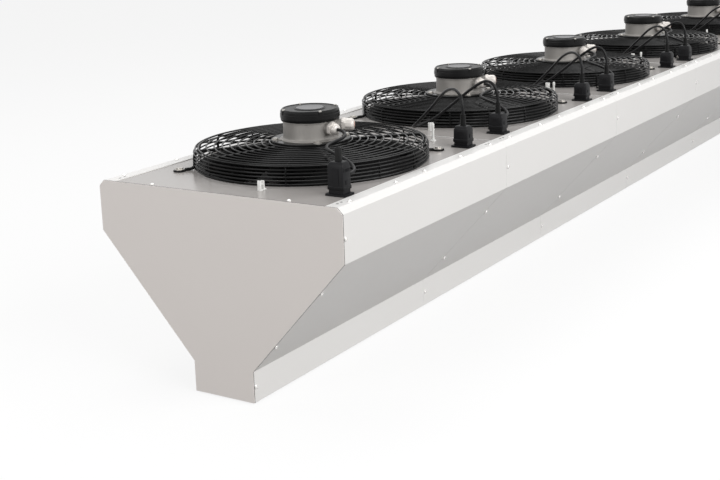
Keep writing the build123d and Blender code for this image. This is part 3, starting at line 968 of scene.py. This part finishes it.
@dataclass
class Motor:
    """Terminal cover, its screws and disc, and the two glands on the can."""

    library: Library
    cover_radius: float = 0.0645
    cover_bottom: float = 0.092
    cover_top: float = 0.117
    disc_radius: float = 0.030
    screw_ring: float = 0.0600
    gland_root: float = 0.068
    gland_height: float = 0.078
    cable_angle: float = math.radians(-105)
    blank_angle: float = math.radians(-62)

    @property
    def screw_angles(self) -> list[float]:
        """Angles of the cover's four ears and screws."""
        return [(n + 0.62) * TAU / 4 for n in range(4)]

    def cover(self) -> Shell:
        """Turned cover: skirt, groove, band, bevel and a sunk top with a rim."""
        r, low, top = self.cover_radius, self.cover_bottom, self.cover_top
        profile = [
            (0.0, low), (r - 0.003, low), (r - 0.0012, low + 0.0006), (r - 0.0008, low + 0.0030),
            (r - 0.0022, low + 0.0042), (r - 0.0022, low + 0.0052), (r, low + 0.0062),
            (r, low + 0.0150), (r - 0.0008, low + 0.0160), (r - 0.0008, top - 0.0046),
            (r - 0.0030, top - 0.0016), (r - 0.0046, top), (r - 0.0066, top), (r - 0.0074, top - 0.0012),
            (self.disc_radius + 0.0052, top - 0.0012), (self.disc_radius + 0.0042, top),
            (self.disc_radius + 0.0022, top), (self.disc_radius + 0.0014, top - 0.0010), (0.0, top - 0.0010)]
        shell = lathe(profile, 72)
        ear = stacked([(0.0090, 0.0110, 0.002, top - 0.0110), (0.0090, 0.0110, 0.002, top - 0.0022),
                       (0.0078, 0.0098, 0.002, top - 0.0014)])
        for angle in self.screw_angles:
            shell.place(ear, around((0, 0, 0), r - 0.0040, angle, 0.0, angle))
        return shell

    def disc(self) -> Shell:
        """Plain disc in the middle of the cover."""
        r, top = self.disc_radius, self.cover_top
        return lathe([(0.0, top - 0.0009), (r, top - 0.0009), (r, top + 0.0006), (r - 0.0008, top + 0.0011),
                      (r * 0.9, top + 0.0008), (0.0, top + 0.0008)], 56)

    def cover_screw(self) -> Shell:
        """Cheese head that stands in a notch on the cover's bevel."""
        return lathe([(0.0, 0.0), (0.0034, 0.0), (0.0034, 0.0021), (0.0028, 0.0028),
                      (0.0015, 0.0028), (0.0013, 0.0018), (0.0, 0.0016)], 20)

    @staticmethod
    def nut(radius: float, length: float) -> Shell:
        """Hexagon nut with its corners turned down.

        Args:
            radius: distance from the axis to a corner.
            length: length of the nut.

        Returns:
            The nut, standing on Z.
        """
        return hexagon(radius, [(0.0, 0.0), (radius * 0.95, 0.0), (radius * 1.01, 0.0012),
                                (radius * 1.01, length - 0.0014), (radius * 0.93, length), (0.0, length)])

    def gland(self, nose: float, blank: bool) -> Shell:
        """Nut on the boss, then a ribbed cap nut with a rounded nose.

        Args:
            nose: length from the boss to the tip.
            blank: the nose is closed and wider.

        Returns:
            The gland, standing on Z.
        """
        shell = self.nut(0.0154, 0.0085)
        cap = 0.0139 if blank else 0.0115
        turn = np.linspace(0, TAU, 72, endpoint=False)
        ribs = 1 + 0.02 * np.sign(np.sin(turn * (12 if blank else 18)))
        profile = [(0.0, 0.008), (cap, 0.008), (cap, 0.0095), (cap, nose - 0.0070),
                   (cap * 0.94, nose - 0.0035), (cap * 0.80, nose - 0.0012), (cap * 0.62, nose), (0.0, nose)]
        radius, height = np.array(profile).T
        wall = np.where((height > 0.009) & (height < nose - 0.005), 1.0, 0.0)[:, None]
        radii = radius[:, None] * (1 + (ribs - 1) * wall)
        shell.grid(np.stack([radii * np.cos(turn), radii * np.sin(turn),
                             np.repeat(height[:, None], 72, 1)], -1))
        return shell

    def build(self, layout: Layout) -> None:
        """Make the covers, discs, cover screws and glands of all fans.

        Args:
            layout: places read from the frame.
        """
        covers, discs, heads, wired, blanks, inserts = (Shell() for _ in range(6))
        insert = lathe([(0.0, 0.0), (0.0068, 0.0), (0.0068, 0.0012), (0.0, 0.0014)], 24)
        for x, y, z in layout.centres:
            covers.place(self.cover(), upright(x, y, z))
            discs.place(self.disc(), upright(x, y, z))
            for angle in self.screw_angles:
                heads.place(self.cover_screw(), around((x, y, z), self.screw_ring, angle,
                                                       self.cover_top - 0.0018))
            height = z + self.gland_height
            wired.place(self.gland(0.020, False), outward(x, y, height, self.cable_angle, self.gland_root))
            blanks.place(self.gland(0.0268, True), outward(x, y, height, self.blank_angle, self.gland_root))
            inserts.place(insert, outward(x, y, height, self.blank_angle, self.gland_root + 0.0266))
        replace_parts(covers.build("terminal_cover_shells", self.library, Slot.COVER), "terminal_covers")
        discs.build("terminal_cover_discs", self.library, Slot.COVER, finish=PLAIN_DISC)
        heads.build("terminal_cover_screws", self.library, Slot.BOLT)
        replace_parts(wired.build("cable_gland_nuts", self.library, Slot.GLAND), "cable_glands")
        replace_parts(blanks.build("blanking_gland_nuts", self.library, Slot.GLAND), "blanking_glands")
        inserts.build("blanking_inserts", self.library, Slot.GLAND, finish=PINK_PLUG)


@dataclass
class Impeller:
    """Cup rotor with seven twisted sickle blades; rides on its own body."""

    library: Library
    blades: int = 7
    inner: float = 0.0725
    outer: float = 0.2245
    hub: float = 0.074
    drop: float = -0.012
    thickness: float = 0.0032

    def blade(self) -> Shell:
        """One blade.

        Row u runs from hub to tip and column v along the chord. The chord grows from 95 to
        128 mm and its pitch falls from 34 to 20 degrees. Angle is sweep * u ** 2 plus the
        chord's share over the radius, height is the chord's share times sin(pitch), less a
        camber of 4 v (1 - v), and the section's thickness goes as 1 - (2 v - 1) ** 4.
        """
        u = np.linspace(0, 1, 22)[:, None]
        v = np.linspace(0, 1, 15)[None, :]
        radius = self.inner + (self.outer - self.inner) * u
        chord = 0.095 + 0.033 * u
        pitch = np.radians(34 - 14 * u)
        angle = 0.42 * u ** 2 + (v - 0.5) * chord * np.cos(pitch) / radius
        level = self.drop + (v - 0.5) * chord * np.sin(pitch) - 0.010 * 4 * v * (1 - v)
        half = self.thickness / 2 * (1 - 0.92 * (2 * v - 1) ** 4)
        sheets = [np.stack([radius * np.cos(angle), radius * np.sin(angle), level + side * half], -1)
                  for side in (1, -1)]
        loop = np.concatenate([sheets[0], sheets[1][:, ::-1]], 1)
        ends = [np.repeat(loop[row].mean(0)[None, None], loop.shape[1], 1) for row in (0, -1)]
        shell = Shell()
        shell.grid(np.concatenate([ends[0], loop, ends[1]]))
        return shell

    def cup(self) -> Shell:
        """Rotor cup, open at its top, with a shaft bore."""
        r = self.hub
        profile = [(0.0088, -0.0578), (0.034, -0.0578), (0.036, -0.0566), (r - 0.006, -0.0566),
                   (r - 0.001, -0.0530), (r, -0.0480), (r, 0.0335), (r - 0.002, 0.0358), (r - 0.0066, 0.0358),
                   (r - 0.0068, -0.0448), (0.0088, -0.0448)]
        return lathe([*profile, profile[0]], 72)

    def build(self, centre: tuple[float, float, float], node: str) -> bpy.types.Object:
        """Make one impeller.

        Args:
            centre: the fan's axis on the top plate.
            node: CAD node and body of the impeller.

        Returns:
            The impeller.
        """
        shell, blade = Shell(), self.blade()
        shell.place(self.cup(), upright(*centre))
        for n in range(self.blades):
            shell.place(blade, upright(*centre, n * TAU / self.blades))
        piece = shell.build(f"{node}_blades", self.library, Slot.FAN, body=node, smooth=50.0)
        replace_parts(piece, node)
        return piece


@dataclass
class Seams:
    """Sealing strips in the seams, pale at the module seams as a painted highlight, and black inserts in the
    hanger holes, which also stand for painted shade inside them.
    """

    library: Library
    profile: tuple[tuple[float, float], ...] = (
        (-0.074, 0.0030), (-0.074, 0.068), (-0.300, 0.318), (-0.300, 0.413), (-0.288, 0.425),
        (0.288, 0.425), (0.300, 0.413), (0.300, 0.318), (0.074, 0.068), (0.074, 0.0030))
    width: float = 0.0013
    proud: float = 0.0003
    depth: float = 0.0008
    end_sheet: float = 0.0023
    hanger_x: tuple[float, float] = (0.030, 0.044)
    hanger_y: float = 0.270
    # Black rings in the hanger holes: inserts that also stand for the painted shade inside the holes.
    insert_and_shade_radii: tuple[float, float] = (0.0018, 0.0031)
    insert_and_shade_heights: tuple[float, float] = (0.4170, 0.4246)

    def strip(self, x: float) -> Shell:
        """Strip round the housing at one seam: the profile moved out and in by a mitred offset.

        Args:
            x: where the strip starts.

        Returns:
            The strip.
        """
        line = np.array(self.profile)
        run = np.diff(line, axis=0)
        run /= np.linalg.norm(run, axis=1, keepdims=True)
        normal = np.column_stack([-run[:, 1], run[:, 0]])
        joined = np.vstack([normal[:1], normal, normal[-1:]])
        mitre = joined[:-1] + joined[1:]
        mitre /= (mitre * joined[1:]).sum(1, keepdims=True)
        rows = [np.column_stack([np.full(len(line), x + dx), line + mitre * away])
                for dx, away in ((0, self.proud), (self.width, self.proud),
                                 (self.width, -self.depth), (0, -self.depth))]
        grid = np.stack(rows, 1)
        ends = [np.repeat(grid[row].mean(0)[None, None], 4, 1) for row in (0, -1)]
        shell = Shell()
        shell.grid(np.concatenate([ends[0], grid, ends[1]]))
        return shell

    def build(self, layout: Layout) -> None:
        """Make the strips and inserts of the whole row; the module strips' pale colour is a painted
        highlight, and the inserts also paint the shade in the hanger holes.

        Args:
            layout: places read from the frame.
        """
        ends, seams, inserts = Shell(), Shell(), Shell()
        count = len(layout.centres)
        (bore, rim), (base, top) = self.insert_and_shade_radii, self.insert_and_shade_heights
        insert = lathe([(bore, top), (rim, top), (rim, base), (bore, base), (bore, top)], 20)
        low, high = layout.start(0), layout.start(0) + count * layout.pitch
        for x in (low + self.end_sheet, high - self.end_sheet):
            ends.place(self.strip(x - self.width / 2))
        for index in range(1, count):
            seams.place(self.strip(layout.start(index) - self.width / 2))
        for index in range(count):
            for inset in self.hanger_x:
                for x in (layout.start(index) + inset, layout.start(index) + layout.pitch - inset):
                    for side in (-1, 1):
                        inserts.place(insert, upright(x, side * self.hanger_y, 0))
        ends.build("end_seal_strips", self.library, Slot.SLEEVE, finish=SEAL)
        # Module seam strips: strips at real seams, painted pale as a painted highlight along their edges.
        seams.build("module_seal_strips", self.library, Slot.CLIP, finish=SEAM_HIGHLIGHT_PAINT)
        # Hanger inserts: black rings, partly real inserts and partly painted shade inside the hanger holes.
        inserts.build("hanger_inserts", self.library, Slot.BOLT, finish=FINISHES[Slot.RING])


@dataclass
class Connectors:
    """Hoods on their sockets, with latches, and the ribbed sleeves above them."""

    library: Library
    supply_x: float = 0.097
    link_x: float = 0.606
    y: float = -0.232
    socket_top: float = 0.012
    hood: tuple[float, float] = (0.031, 0.038)
    tall: tuple[float, float] = (0.066, 0.093)
    short: tuple[float, float] = (0.048, 0.074)
    side_height: float = 0.034
    side_length: float = 0.020

    def hood_shell(self, top: float) -> Shell:
        """Loft from a wide skirt up a shallow step to a drawn-in shoulder.

        Args:
            top: height of the hood.

        Returns:
            The hood.
        """
        a, b = self.hood
        low = self.socket_top
        shell = stacked([
            (a - 0.001, b - 0.001, 0.0028, low), (a, b, 0.003, low + 0.0008), (a, b, 0.003, low + 0.006),
            (a - 0.0022, b - 0.0022, 0.0026, low + 0.0075), (a - 0.0026, b - 0.0026, 0.0026, top - 0.009),
            (a - 0.0050, b - 0.0060, 0.0030, top - 0.0035), (a - 0.0085, b - 0.0100, 0.0034, top - 0.0006),
            (a - 0.0105, b - 0.0120, 0.0034, top)])
        for side in (-1, 1):
            pad = stacked([(0.0018, b * 0.42, 0.0006, low + 0.009), (0.0018, b * 0.42, 0.0006, top - 0.012)])
            shell.place(pad, upright(side * (a / 2 - 0.0010), 0, 0))
            for n in range(5 if top > self.short[0] else 0):
                notch = stacked([(0.0024, 0.0016, 0.0004, height) for height in (top - 0.0190, top - 0.0130)])
                shell.place(notch, upright((n - 2) * 0.0044, side * (b / 2 - 0.0010), 0))
            latch = stacked([(a * 0.34, 0.0020, 0.0006, height) for height in (low + 0.010, low + 0.018)])
            shell.place(latch, upright(0, side * (b / 2 - 0.0010), 0))
        button = lathe([(0.0, 0.0), (0.0034, 0.0), (0.0034, 0.0012), (0.0026, 0.0020), (0.0010, 0.0021),
                        (0.0008, 0.0012), (0.0, 0.0012)], 20)
        for angle in (0.0, math.pi):
            shell.place(button, outward(0, 0, low + 0.0128, angle, a / 2 - 0.0022))
        return shell

    @staticmethod
    def sleeve(low: float, top: float, ribbed: bool) -> Shell:
        """Bend sleeve: rings between grooves, narrowing upwards, or a smooth tube with a lip.

        Args:
            low: height of its foot.
            top: height of its end.
            ribbed: rings, not a smooth tube.

        Returns:
            The sleeve.
        """
        if not ribbed:
            return lathe([(0.0, low), (0.0070, low), (0.0070, top - 0.0015), (0.0066, top - 0.0003),
                          (0.0052, top), (0.0046, top - 0.003), (0.0, top - 0.003)], 32)
        rows = [(0.0, low), (0.0070, low)]
        count = 7
        for n in range(count):
            z0 = low + (top - low) * n / count
            z1 = low + (top - low) * (n + 1) / count
            wide, narrow = 0.0069 - 0.0012 * n / count, 0.0056 - 0.0008 * n / count
            rows += [(wide, z0 + 0.0004), (wide, z0 + (z1 - z0) * 0.55), (narrow, z0 + (z1 - z0) * 0.62),
                     (narrow, z1 - 0.0002)]
        return lathe([*rows, (0.0044, top), (0.0, top)], 32)

    def build(self, layout: Layout) -> None:
        """Make all hoods and sleeves.

        Args:
            layout: places read from the frame.
        """
        hoods, sleeves = Shell(), Shell()
        for index in range(len(layout.centres)):
            start, z = layout.start(index), layout.plate
            first = index == 0
            sizes = [(self.supply_x, self.tall if first else self.short, not first)]
            if index < len(layout.centres) - 1:
                sizes.append((self.link_x, self.short, True))
            for x, (top, end), ribbed in sizes:
                hoods.place(self.hood_shell(top), upright(start + x, self.y, z))
                sleeves.place(self.sleeve(top - 0.0005, end, ribbed), upright(start + x, self.y, z))
            side = self.sleeve(0.0, self.side_length, True)
            sleeves.place(side, outward(start + self.supply_x, self.y, z + self.side_height,
                                        0.0, self.hood[0] / 2 - 0.0006))
        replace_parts(hoods.build("connector_hood_shells", self.library, Slot.PLUG), "connector_hoods")
        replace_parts(sleeves.build("bend_sleeve_ribs", self.library, Slot.SLEEVE), "bend_sleeves")


@dataclass
class Holders:
    """White wire clip and mast on each module's top plate."""

    library: Library
    clip: tuple[float, float] = (0.070, -0.067)
    mast: tuple[float, float] = (0.641, -0.135)
    clip_height: float = 0.020
    mast_height: float = 0.040

    def build(self, layout: Layout) -> None:
        """Make the clips and masts.

        Args:
            layout: places read from the frame.
        """
        shell = Shell()
        top = self.clip_height
        for index in range(len(layout.centres)):
            x, z = layout.start(index), layout.plate
            foot = stacked([(0.0198, 0.0098, 0.002, 0.0), (0.0198, 0.0098, 0.002, 0.0014),
                            (0.018, 0.008, 0.002, 0.002)])
            shell.place(foot, upright(x + self.clip[0], self.clip[1], z))
            for offset, reach in ((-0.008, top), (0.003, top * 0.92)):
                post = stacked([(0.003, 0.008, 0.0008, 0.001), (0.003, 0.008, 0.0008, reach - 0.001),
                                (0.002, 0.007, 0.0008, reach)])
                shell.place(post, upright(x + self.clip[0] + offset, self.clip[1], z))
            bar = stacked([(0.0090, 0.006, 0.0008, top * 0.55), (0.0090, 0.006, 0.0008, top * 0.66)])
            shell.place(bar, upright(x + self.clip[0] - 0.0025, self.clip[1], z))
            mast = lathe([(0.0, 0.0), (0.0069, 0.0), (0.0069, 0.0018), (0.0036, 0.0028), (0.0030, 0.010),
                          (0.0028, 0.030), (0.0034, 0.032), (0.0034, 0.038), (0.0026, self.mast_height),
                          (0.0, self.mast_height)], 24)
            shell.place(mast, upright(x + self.mast[0], self.mast[1], z))
        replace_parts(shell.build("clip_and_mast_bodies", self.library, Slot.CLIP), "cable_clips")


@dataclass
class Cable:
    """One cable of the top: a smooth spline through its route; it holds its real length."""

    name: str
    node: str
    points: list[tuple[float, float, float]]
    length: float
    diameter: float = 0.007

    def build(self, library: Library) -> bpy.types.Object:
        """Args:
            library: the finished materials.

        Returns:
            The cable.
        """
        curve = bpy.data.curves.new(self.name, "CURVE")
        curve.dimensions = "3D"
        curve.bevel_depth = self.diameter / 2
        curve.bevel_resolution = 5
        curve.use_fill_caps = True
        curve.resolution_u = 10
        spline = curve.splines.new("NURBS")
        spline.points.add(len(self.points) - 1)
        for point, place in zip(spline.points, self.points):
            point.co = (*place, 1.0)
        spline.order_u = 3
        spline.use_endpoint_u = True
        piece = bpy.data.objects.new(self.name, curve)
        bpy.context.scene.collection.objects.link(piece)
        curve.materials.append(library.get(FINISHES[Slot.CABLE]))
        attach(piece, ROOT)
        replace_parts(piece, self.node)
        log.info("%s: %d points", self.name, len(self.points))
        return piece


@dataclass
class Cabling:
    """Fan cables from gland to supply hood, and link cables from module to module."""

    library: Library
    connectors: Connectors
    motor: Motor
    fan_length: float = 0.280
    link_length: float = 0.606
    straight: float = 0.020
    lead: float = 0.0215
    rise: float = 0.032

    def fan_route(self, layout: Layout, index: int) -> list[tuple[float, float, float]]:
        """Route over the guard, from the gland's tip to the sleeve beside the hood.

        Args:
            layout: places read from the frame.
            index: number of the module, from 0.

        Returns:
            The points.
        """
        start, z = layout.start(index), layout.plate
        half, angle = layout.pitch / 2, self.motor.cable_angle
        tip = self.motor.gland_root + 0.020
        ends = [(half + r * math.cos(angle), r * math.sin(angle), self.motor.gland_height)
                for r in (tip, tip + self.straight)]
        tools = self.connectors
        side, y = tools.supply_x + tools.hood[0] / 2 + tools.side_length, tools.y
        route = [*ends, (0.290, -0.124, 0.070), (0.246, -0.117, 0.066), (0.204, -0.130, 0.066),
                 (0.180, -0.158, 0.063), (0.176, -0.192, 0.054), (0.170, -0.218, 0.042),
                 (side + self.lead, y, tools.side_height), (side, y, tools.side_height)]
        return [(start + px, py, z + pz) for px, py, pz in route]

    def link_route(self, layout: Layout, index: int) -> list[tuple[float, float, float]]:
        """Route of two arches over the seam, touching down between them.

        Args:
            layout: places read from the frame.
            index: number of the module before the seam.

        Returns:
            The points.
        """
        start, z = layout.start(index), layout.plate
        y, top = self.connectors.y, self.connectors.short[1]
        first, last = self.connectors.link_x, layout.pitch + self.connectors.supply_x
        rise = top + self.rise
        route = [(first, y, top), (first, y, rise), (0.622, -0.208, 0.126), (0.650, -0.174, 0.122),
                 (0.680, -0.138, 0.102), (0.698, -0.108, 0.074), (0.704, -0.078, 0.046),
                 (0.708, -0.052, 0.022), (0.726, -0.030, 0.010), (0.755, -0.034, 0.009),
                 (0.769, -0.064, 0.023), (0.773, -0.102, 0.052), (0.777, -0.138, 0.082),
                 (0.779, -0.172, 0.108), (0.781, -0.206, 0.127), (last, y, rise), (last, y, top)]
        return [(start + px, py, z + pz) for px, py, pz in route]

    def build(self, layout: Layout) -> None:
        """Make every cable.

        Args:
            layout: places read from the frame.
        """
        count = len(layout.centres)
        for index in range(count):
            Cable(f"fan_cable_run_{index + 1}", f"fan_cable_{index + 1}",
                  self.fan_route(layout, index), self.fan_length).build(self.library)
        for index in range(count - 1):
            Cable(f"link_cable_run_{index + 1}", f"link_cable_{index + 1}",
                  self.link_route(layout, index), self.link_length).build(self.library)


@dataclass
class Studio:
    """Camera at the photograph's place, soft lamps, white backdrop and floor."""

    camera_place: tuple[float, float, float] = (-3.5823, -1.5383, 0.982)
    yaw: float = math.radians(32.609)
    pitch: float = math.radians(-12.13)
    roll: float = math.radians(-1.99)
    focal_px: float = 1267.1
    centre_drop_px: float = -72.0
    picture_width: float = 720.0
    sensor: float = 36.0
    ambient: float = 0.36
    floor_tone: float = 0.13

    def camera(self) -> None:
        """Place the camera: forward from yaw and pitch, turned about it by the roll."""
        cy, sy, cp, sp = math.cos(self.yaw), math.sin(self.yaw), math.cos(self.pitch), math.sin(self.pitch)
        forward = np.array([cy * cp, sy * cp, sp])
        right = np.array([sy, -cy, 0.0])
        up = np.cross(right, forward)
        c, s = math.cos(self.roll), math.sin(self.roll)
        right, up = c * right + s * up, c * up - s * right
        data = bpy.data.cameras.new("camera")
        data.lens = self.sensor * self.focal_px / self.picture_width
        data.sensor_width = self.sensor
        data.shift_y = self.centre_drop_px / self.picture_width
        data.clip_end = 100.0
        camera = bpy.data.objects.new("camera", data)
        camera.matrix_world = posed([right, up, -forward], self.camera_place)
        bpy.context.scene.collection.objects.link(camera)
        bpy.context.scene.camera = camera

    def lamp(self, name: str, place: tuple[float, float, float], target: tuple[float, float, float],
             size: tuple[float, float], watts: float) -> None:
        """An area lamp that looks at a point.

        Args:
            name: name of the lamp.
            place: its centre.
            target: the point it faces.
            size: its width and height.
            watts: its power.
        """
        data = bpy.data.lights.new(name, "AREA")
        data.shape = "RECTANGLE"
        data.size, data.size_y = size
        data.energy = watts
        lamp = bpy.data.objects.new(name, data)
        direction = Matrix.Translation(place).to_translation() - Matrix.Translation(target).to_translation()
        lamp.rotation_euler = direction.to_track_quat("Z", "Y").to_euler()
        lamp.location = place
        bpy.context.scene.collection.objects.link(lamp)

    @staticmethod
    def seen_share(tree: bpy.types.NodeTree) -> bpy.types.NodeSocket:
        """1 for camera, glossy and transmission rays, and 0 for the rest.

        Args:
            tree: node tree of the world or material.

        Returns:
            The socket with the share.
        """
        path = tree.nodes.new("ShaderNodeLightPath")
        total = path.outputs["Is Camera Ray"]
        for name in ("Is Glossy Ray", "Is Transmission Ray"):
            most = tree.nodes.new("ShaderNodeMath")
            most.operation = "MAXIMUM"
            tree.links.new(total, most.inputs[0])
            tree.links.new(path.outputs[name], most.inputs[1])
            total = most.outputs["Value"]
        return total

    def world(self) -> None:
        """White for what is seen, soft grey for what lights the object."""
        world = bpy.data.worlds.new("studio")
        world.use_nodes = True
        tree = world.node_tree
        background = tree.nodes["Background"]
        strength = tree.nodes.new("ShaderNodeMapRange")
        strength.inputs["To Min"].default_value = self.ambient
        strength.inputs["To Max"].default_value = 1.0
        tree.links.new(self.seen_share(tree), strength.inputs["Value"])
        background.inputs["Color"].default_value = (1.0, 1.0, 1.0, 1.0)
        tree.links.new(strength.outputs["Result"], background.inputs["Strength"])
        bpy.context.scene.world = world

    def floor(self) -> None:
        """Large floor: near white where it is seen, mid grey for the light it gives back."""
        mesh = bpy.data.meshes.new("floor")
        reach = 40.0
        mesh.from_pydata([(-reach, -reach, 0), (reach, -reach, 0), (reach, reach, 0), (-reach, reach, 0)],
                         [], [(0, 1, 2, 3)])
        floor = bpy.data.objects.new("floor", mesh)
        floor.location.z = -0.0005
        bpy.context.scene.collection.objects.link(floor)
        material = bpy.data.materials.new("floor")
        material.use_nodes = True
        tree = material.node_tree
        tree.nodes.clear()
        output = tree.nodes.new("ShaderNodeOutputMaterial")
        matte = tree.nodes.new("ShaderNodeBsdfDiffuse")
        matte.inputs["Color"].default_value = (0.90, 0.90, 0.90, 1.0)
        dim = tree.nodes.new("ShaderNodeBsdfDiffuse")
        tone = self.floor_tone
        dim.inputs["Color"].default_value = (tone * 1.08, tone, tone * 0.94, 1.0)
        glow = tree.nodes.new("ShaderNodeEmission")
        glow.inputs["Strength"].default_value = 1.0
        lit = tree.nodes.new("ShaderNodeMixShader")
        lit.inputs["Fac"].default_value = 0.86
        tree.links.new(matte.outputs["BSDF"], lit.inputs[1])
        tree.links.new(glow.outputs["Emission"], lit.inputs[2])
        choose = tree.nodes.new("ShaderNodeMixShader")
        tree.links.new(self.seen_share(tree), choose.inputs["Fac"])
        tree.links.new(dim.outputs["BSDF"], choose.inputs[1])
        tree.links.new(lit.outputs["Shader"], choose.inputs[2])
        tree.links.new(choose.outputs["Shader"], output.inputs["Surface"])
        mesh.materials.append(material)

    def build(self) -> None:
        """Make the camera, world, floor and lamps."""
        self.camera()
        self.world()
        self.floor()
        self.lamp("key", (-1.5, -4.0, 2.6), (-0.6, 0.0, 0.3), (5.0, 2.5), 205.0)
        self.lamp("end_fill", (-5.0, 0.8, 1.6), (-1.7, 0.0, 0.3), (2.2, 2.0), 46.0)
        self.lamp("top", (0.5, 1.2, 4.0), (0.0, 0.0, 0.4), (6.0, 2.0), 90.0)
        bpy.context.scene.view_settings.view_transform = "Standard"


def main() -> None:
    """Load the frame, dress it, build the new pieces and set the studio."""
    logging.basicConfig(level=logging.INFO, format="%(message)s")
    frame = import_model()
    library = Library()
    layout = Layout.read(frame)
    nodes = frame["nodes"]
    Studio().build()
    motor, connectors = Motor(library), Connectors(library)
    Cabling(library, connectors, motor).build(layout)
    Housing(library).dress(nodes)
    screws = Screws(library)
    screws.build(nodes["panel_screws"], "panel_screw_heads")
    screws.build(nodes["nozzle_screws"], "nozzle_screw_heads")
    guard = WireGuard(library)
    for index, centre in enumerate(layout.centres):
        guard.build(centre, f"fan_guard_{index + 1}")
    can, impeller = MotorCan(library), Impeller(library)
    Seams(library).build(layout)
    for index, centre in enumerate(layout.centres):
        impeller.build(centre, f"impeller_{index + 1}")
        can.build(motor, centre, f"motor_housing_{index + 1}")
    Hardware(library, guard).build(layout)
    motor.build(layout)
    connectors.build(layout)
    Holders(library).build(layout)


if __name__ == "__main__":
    main()
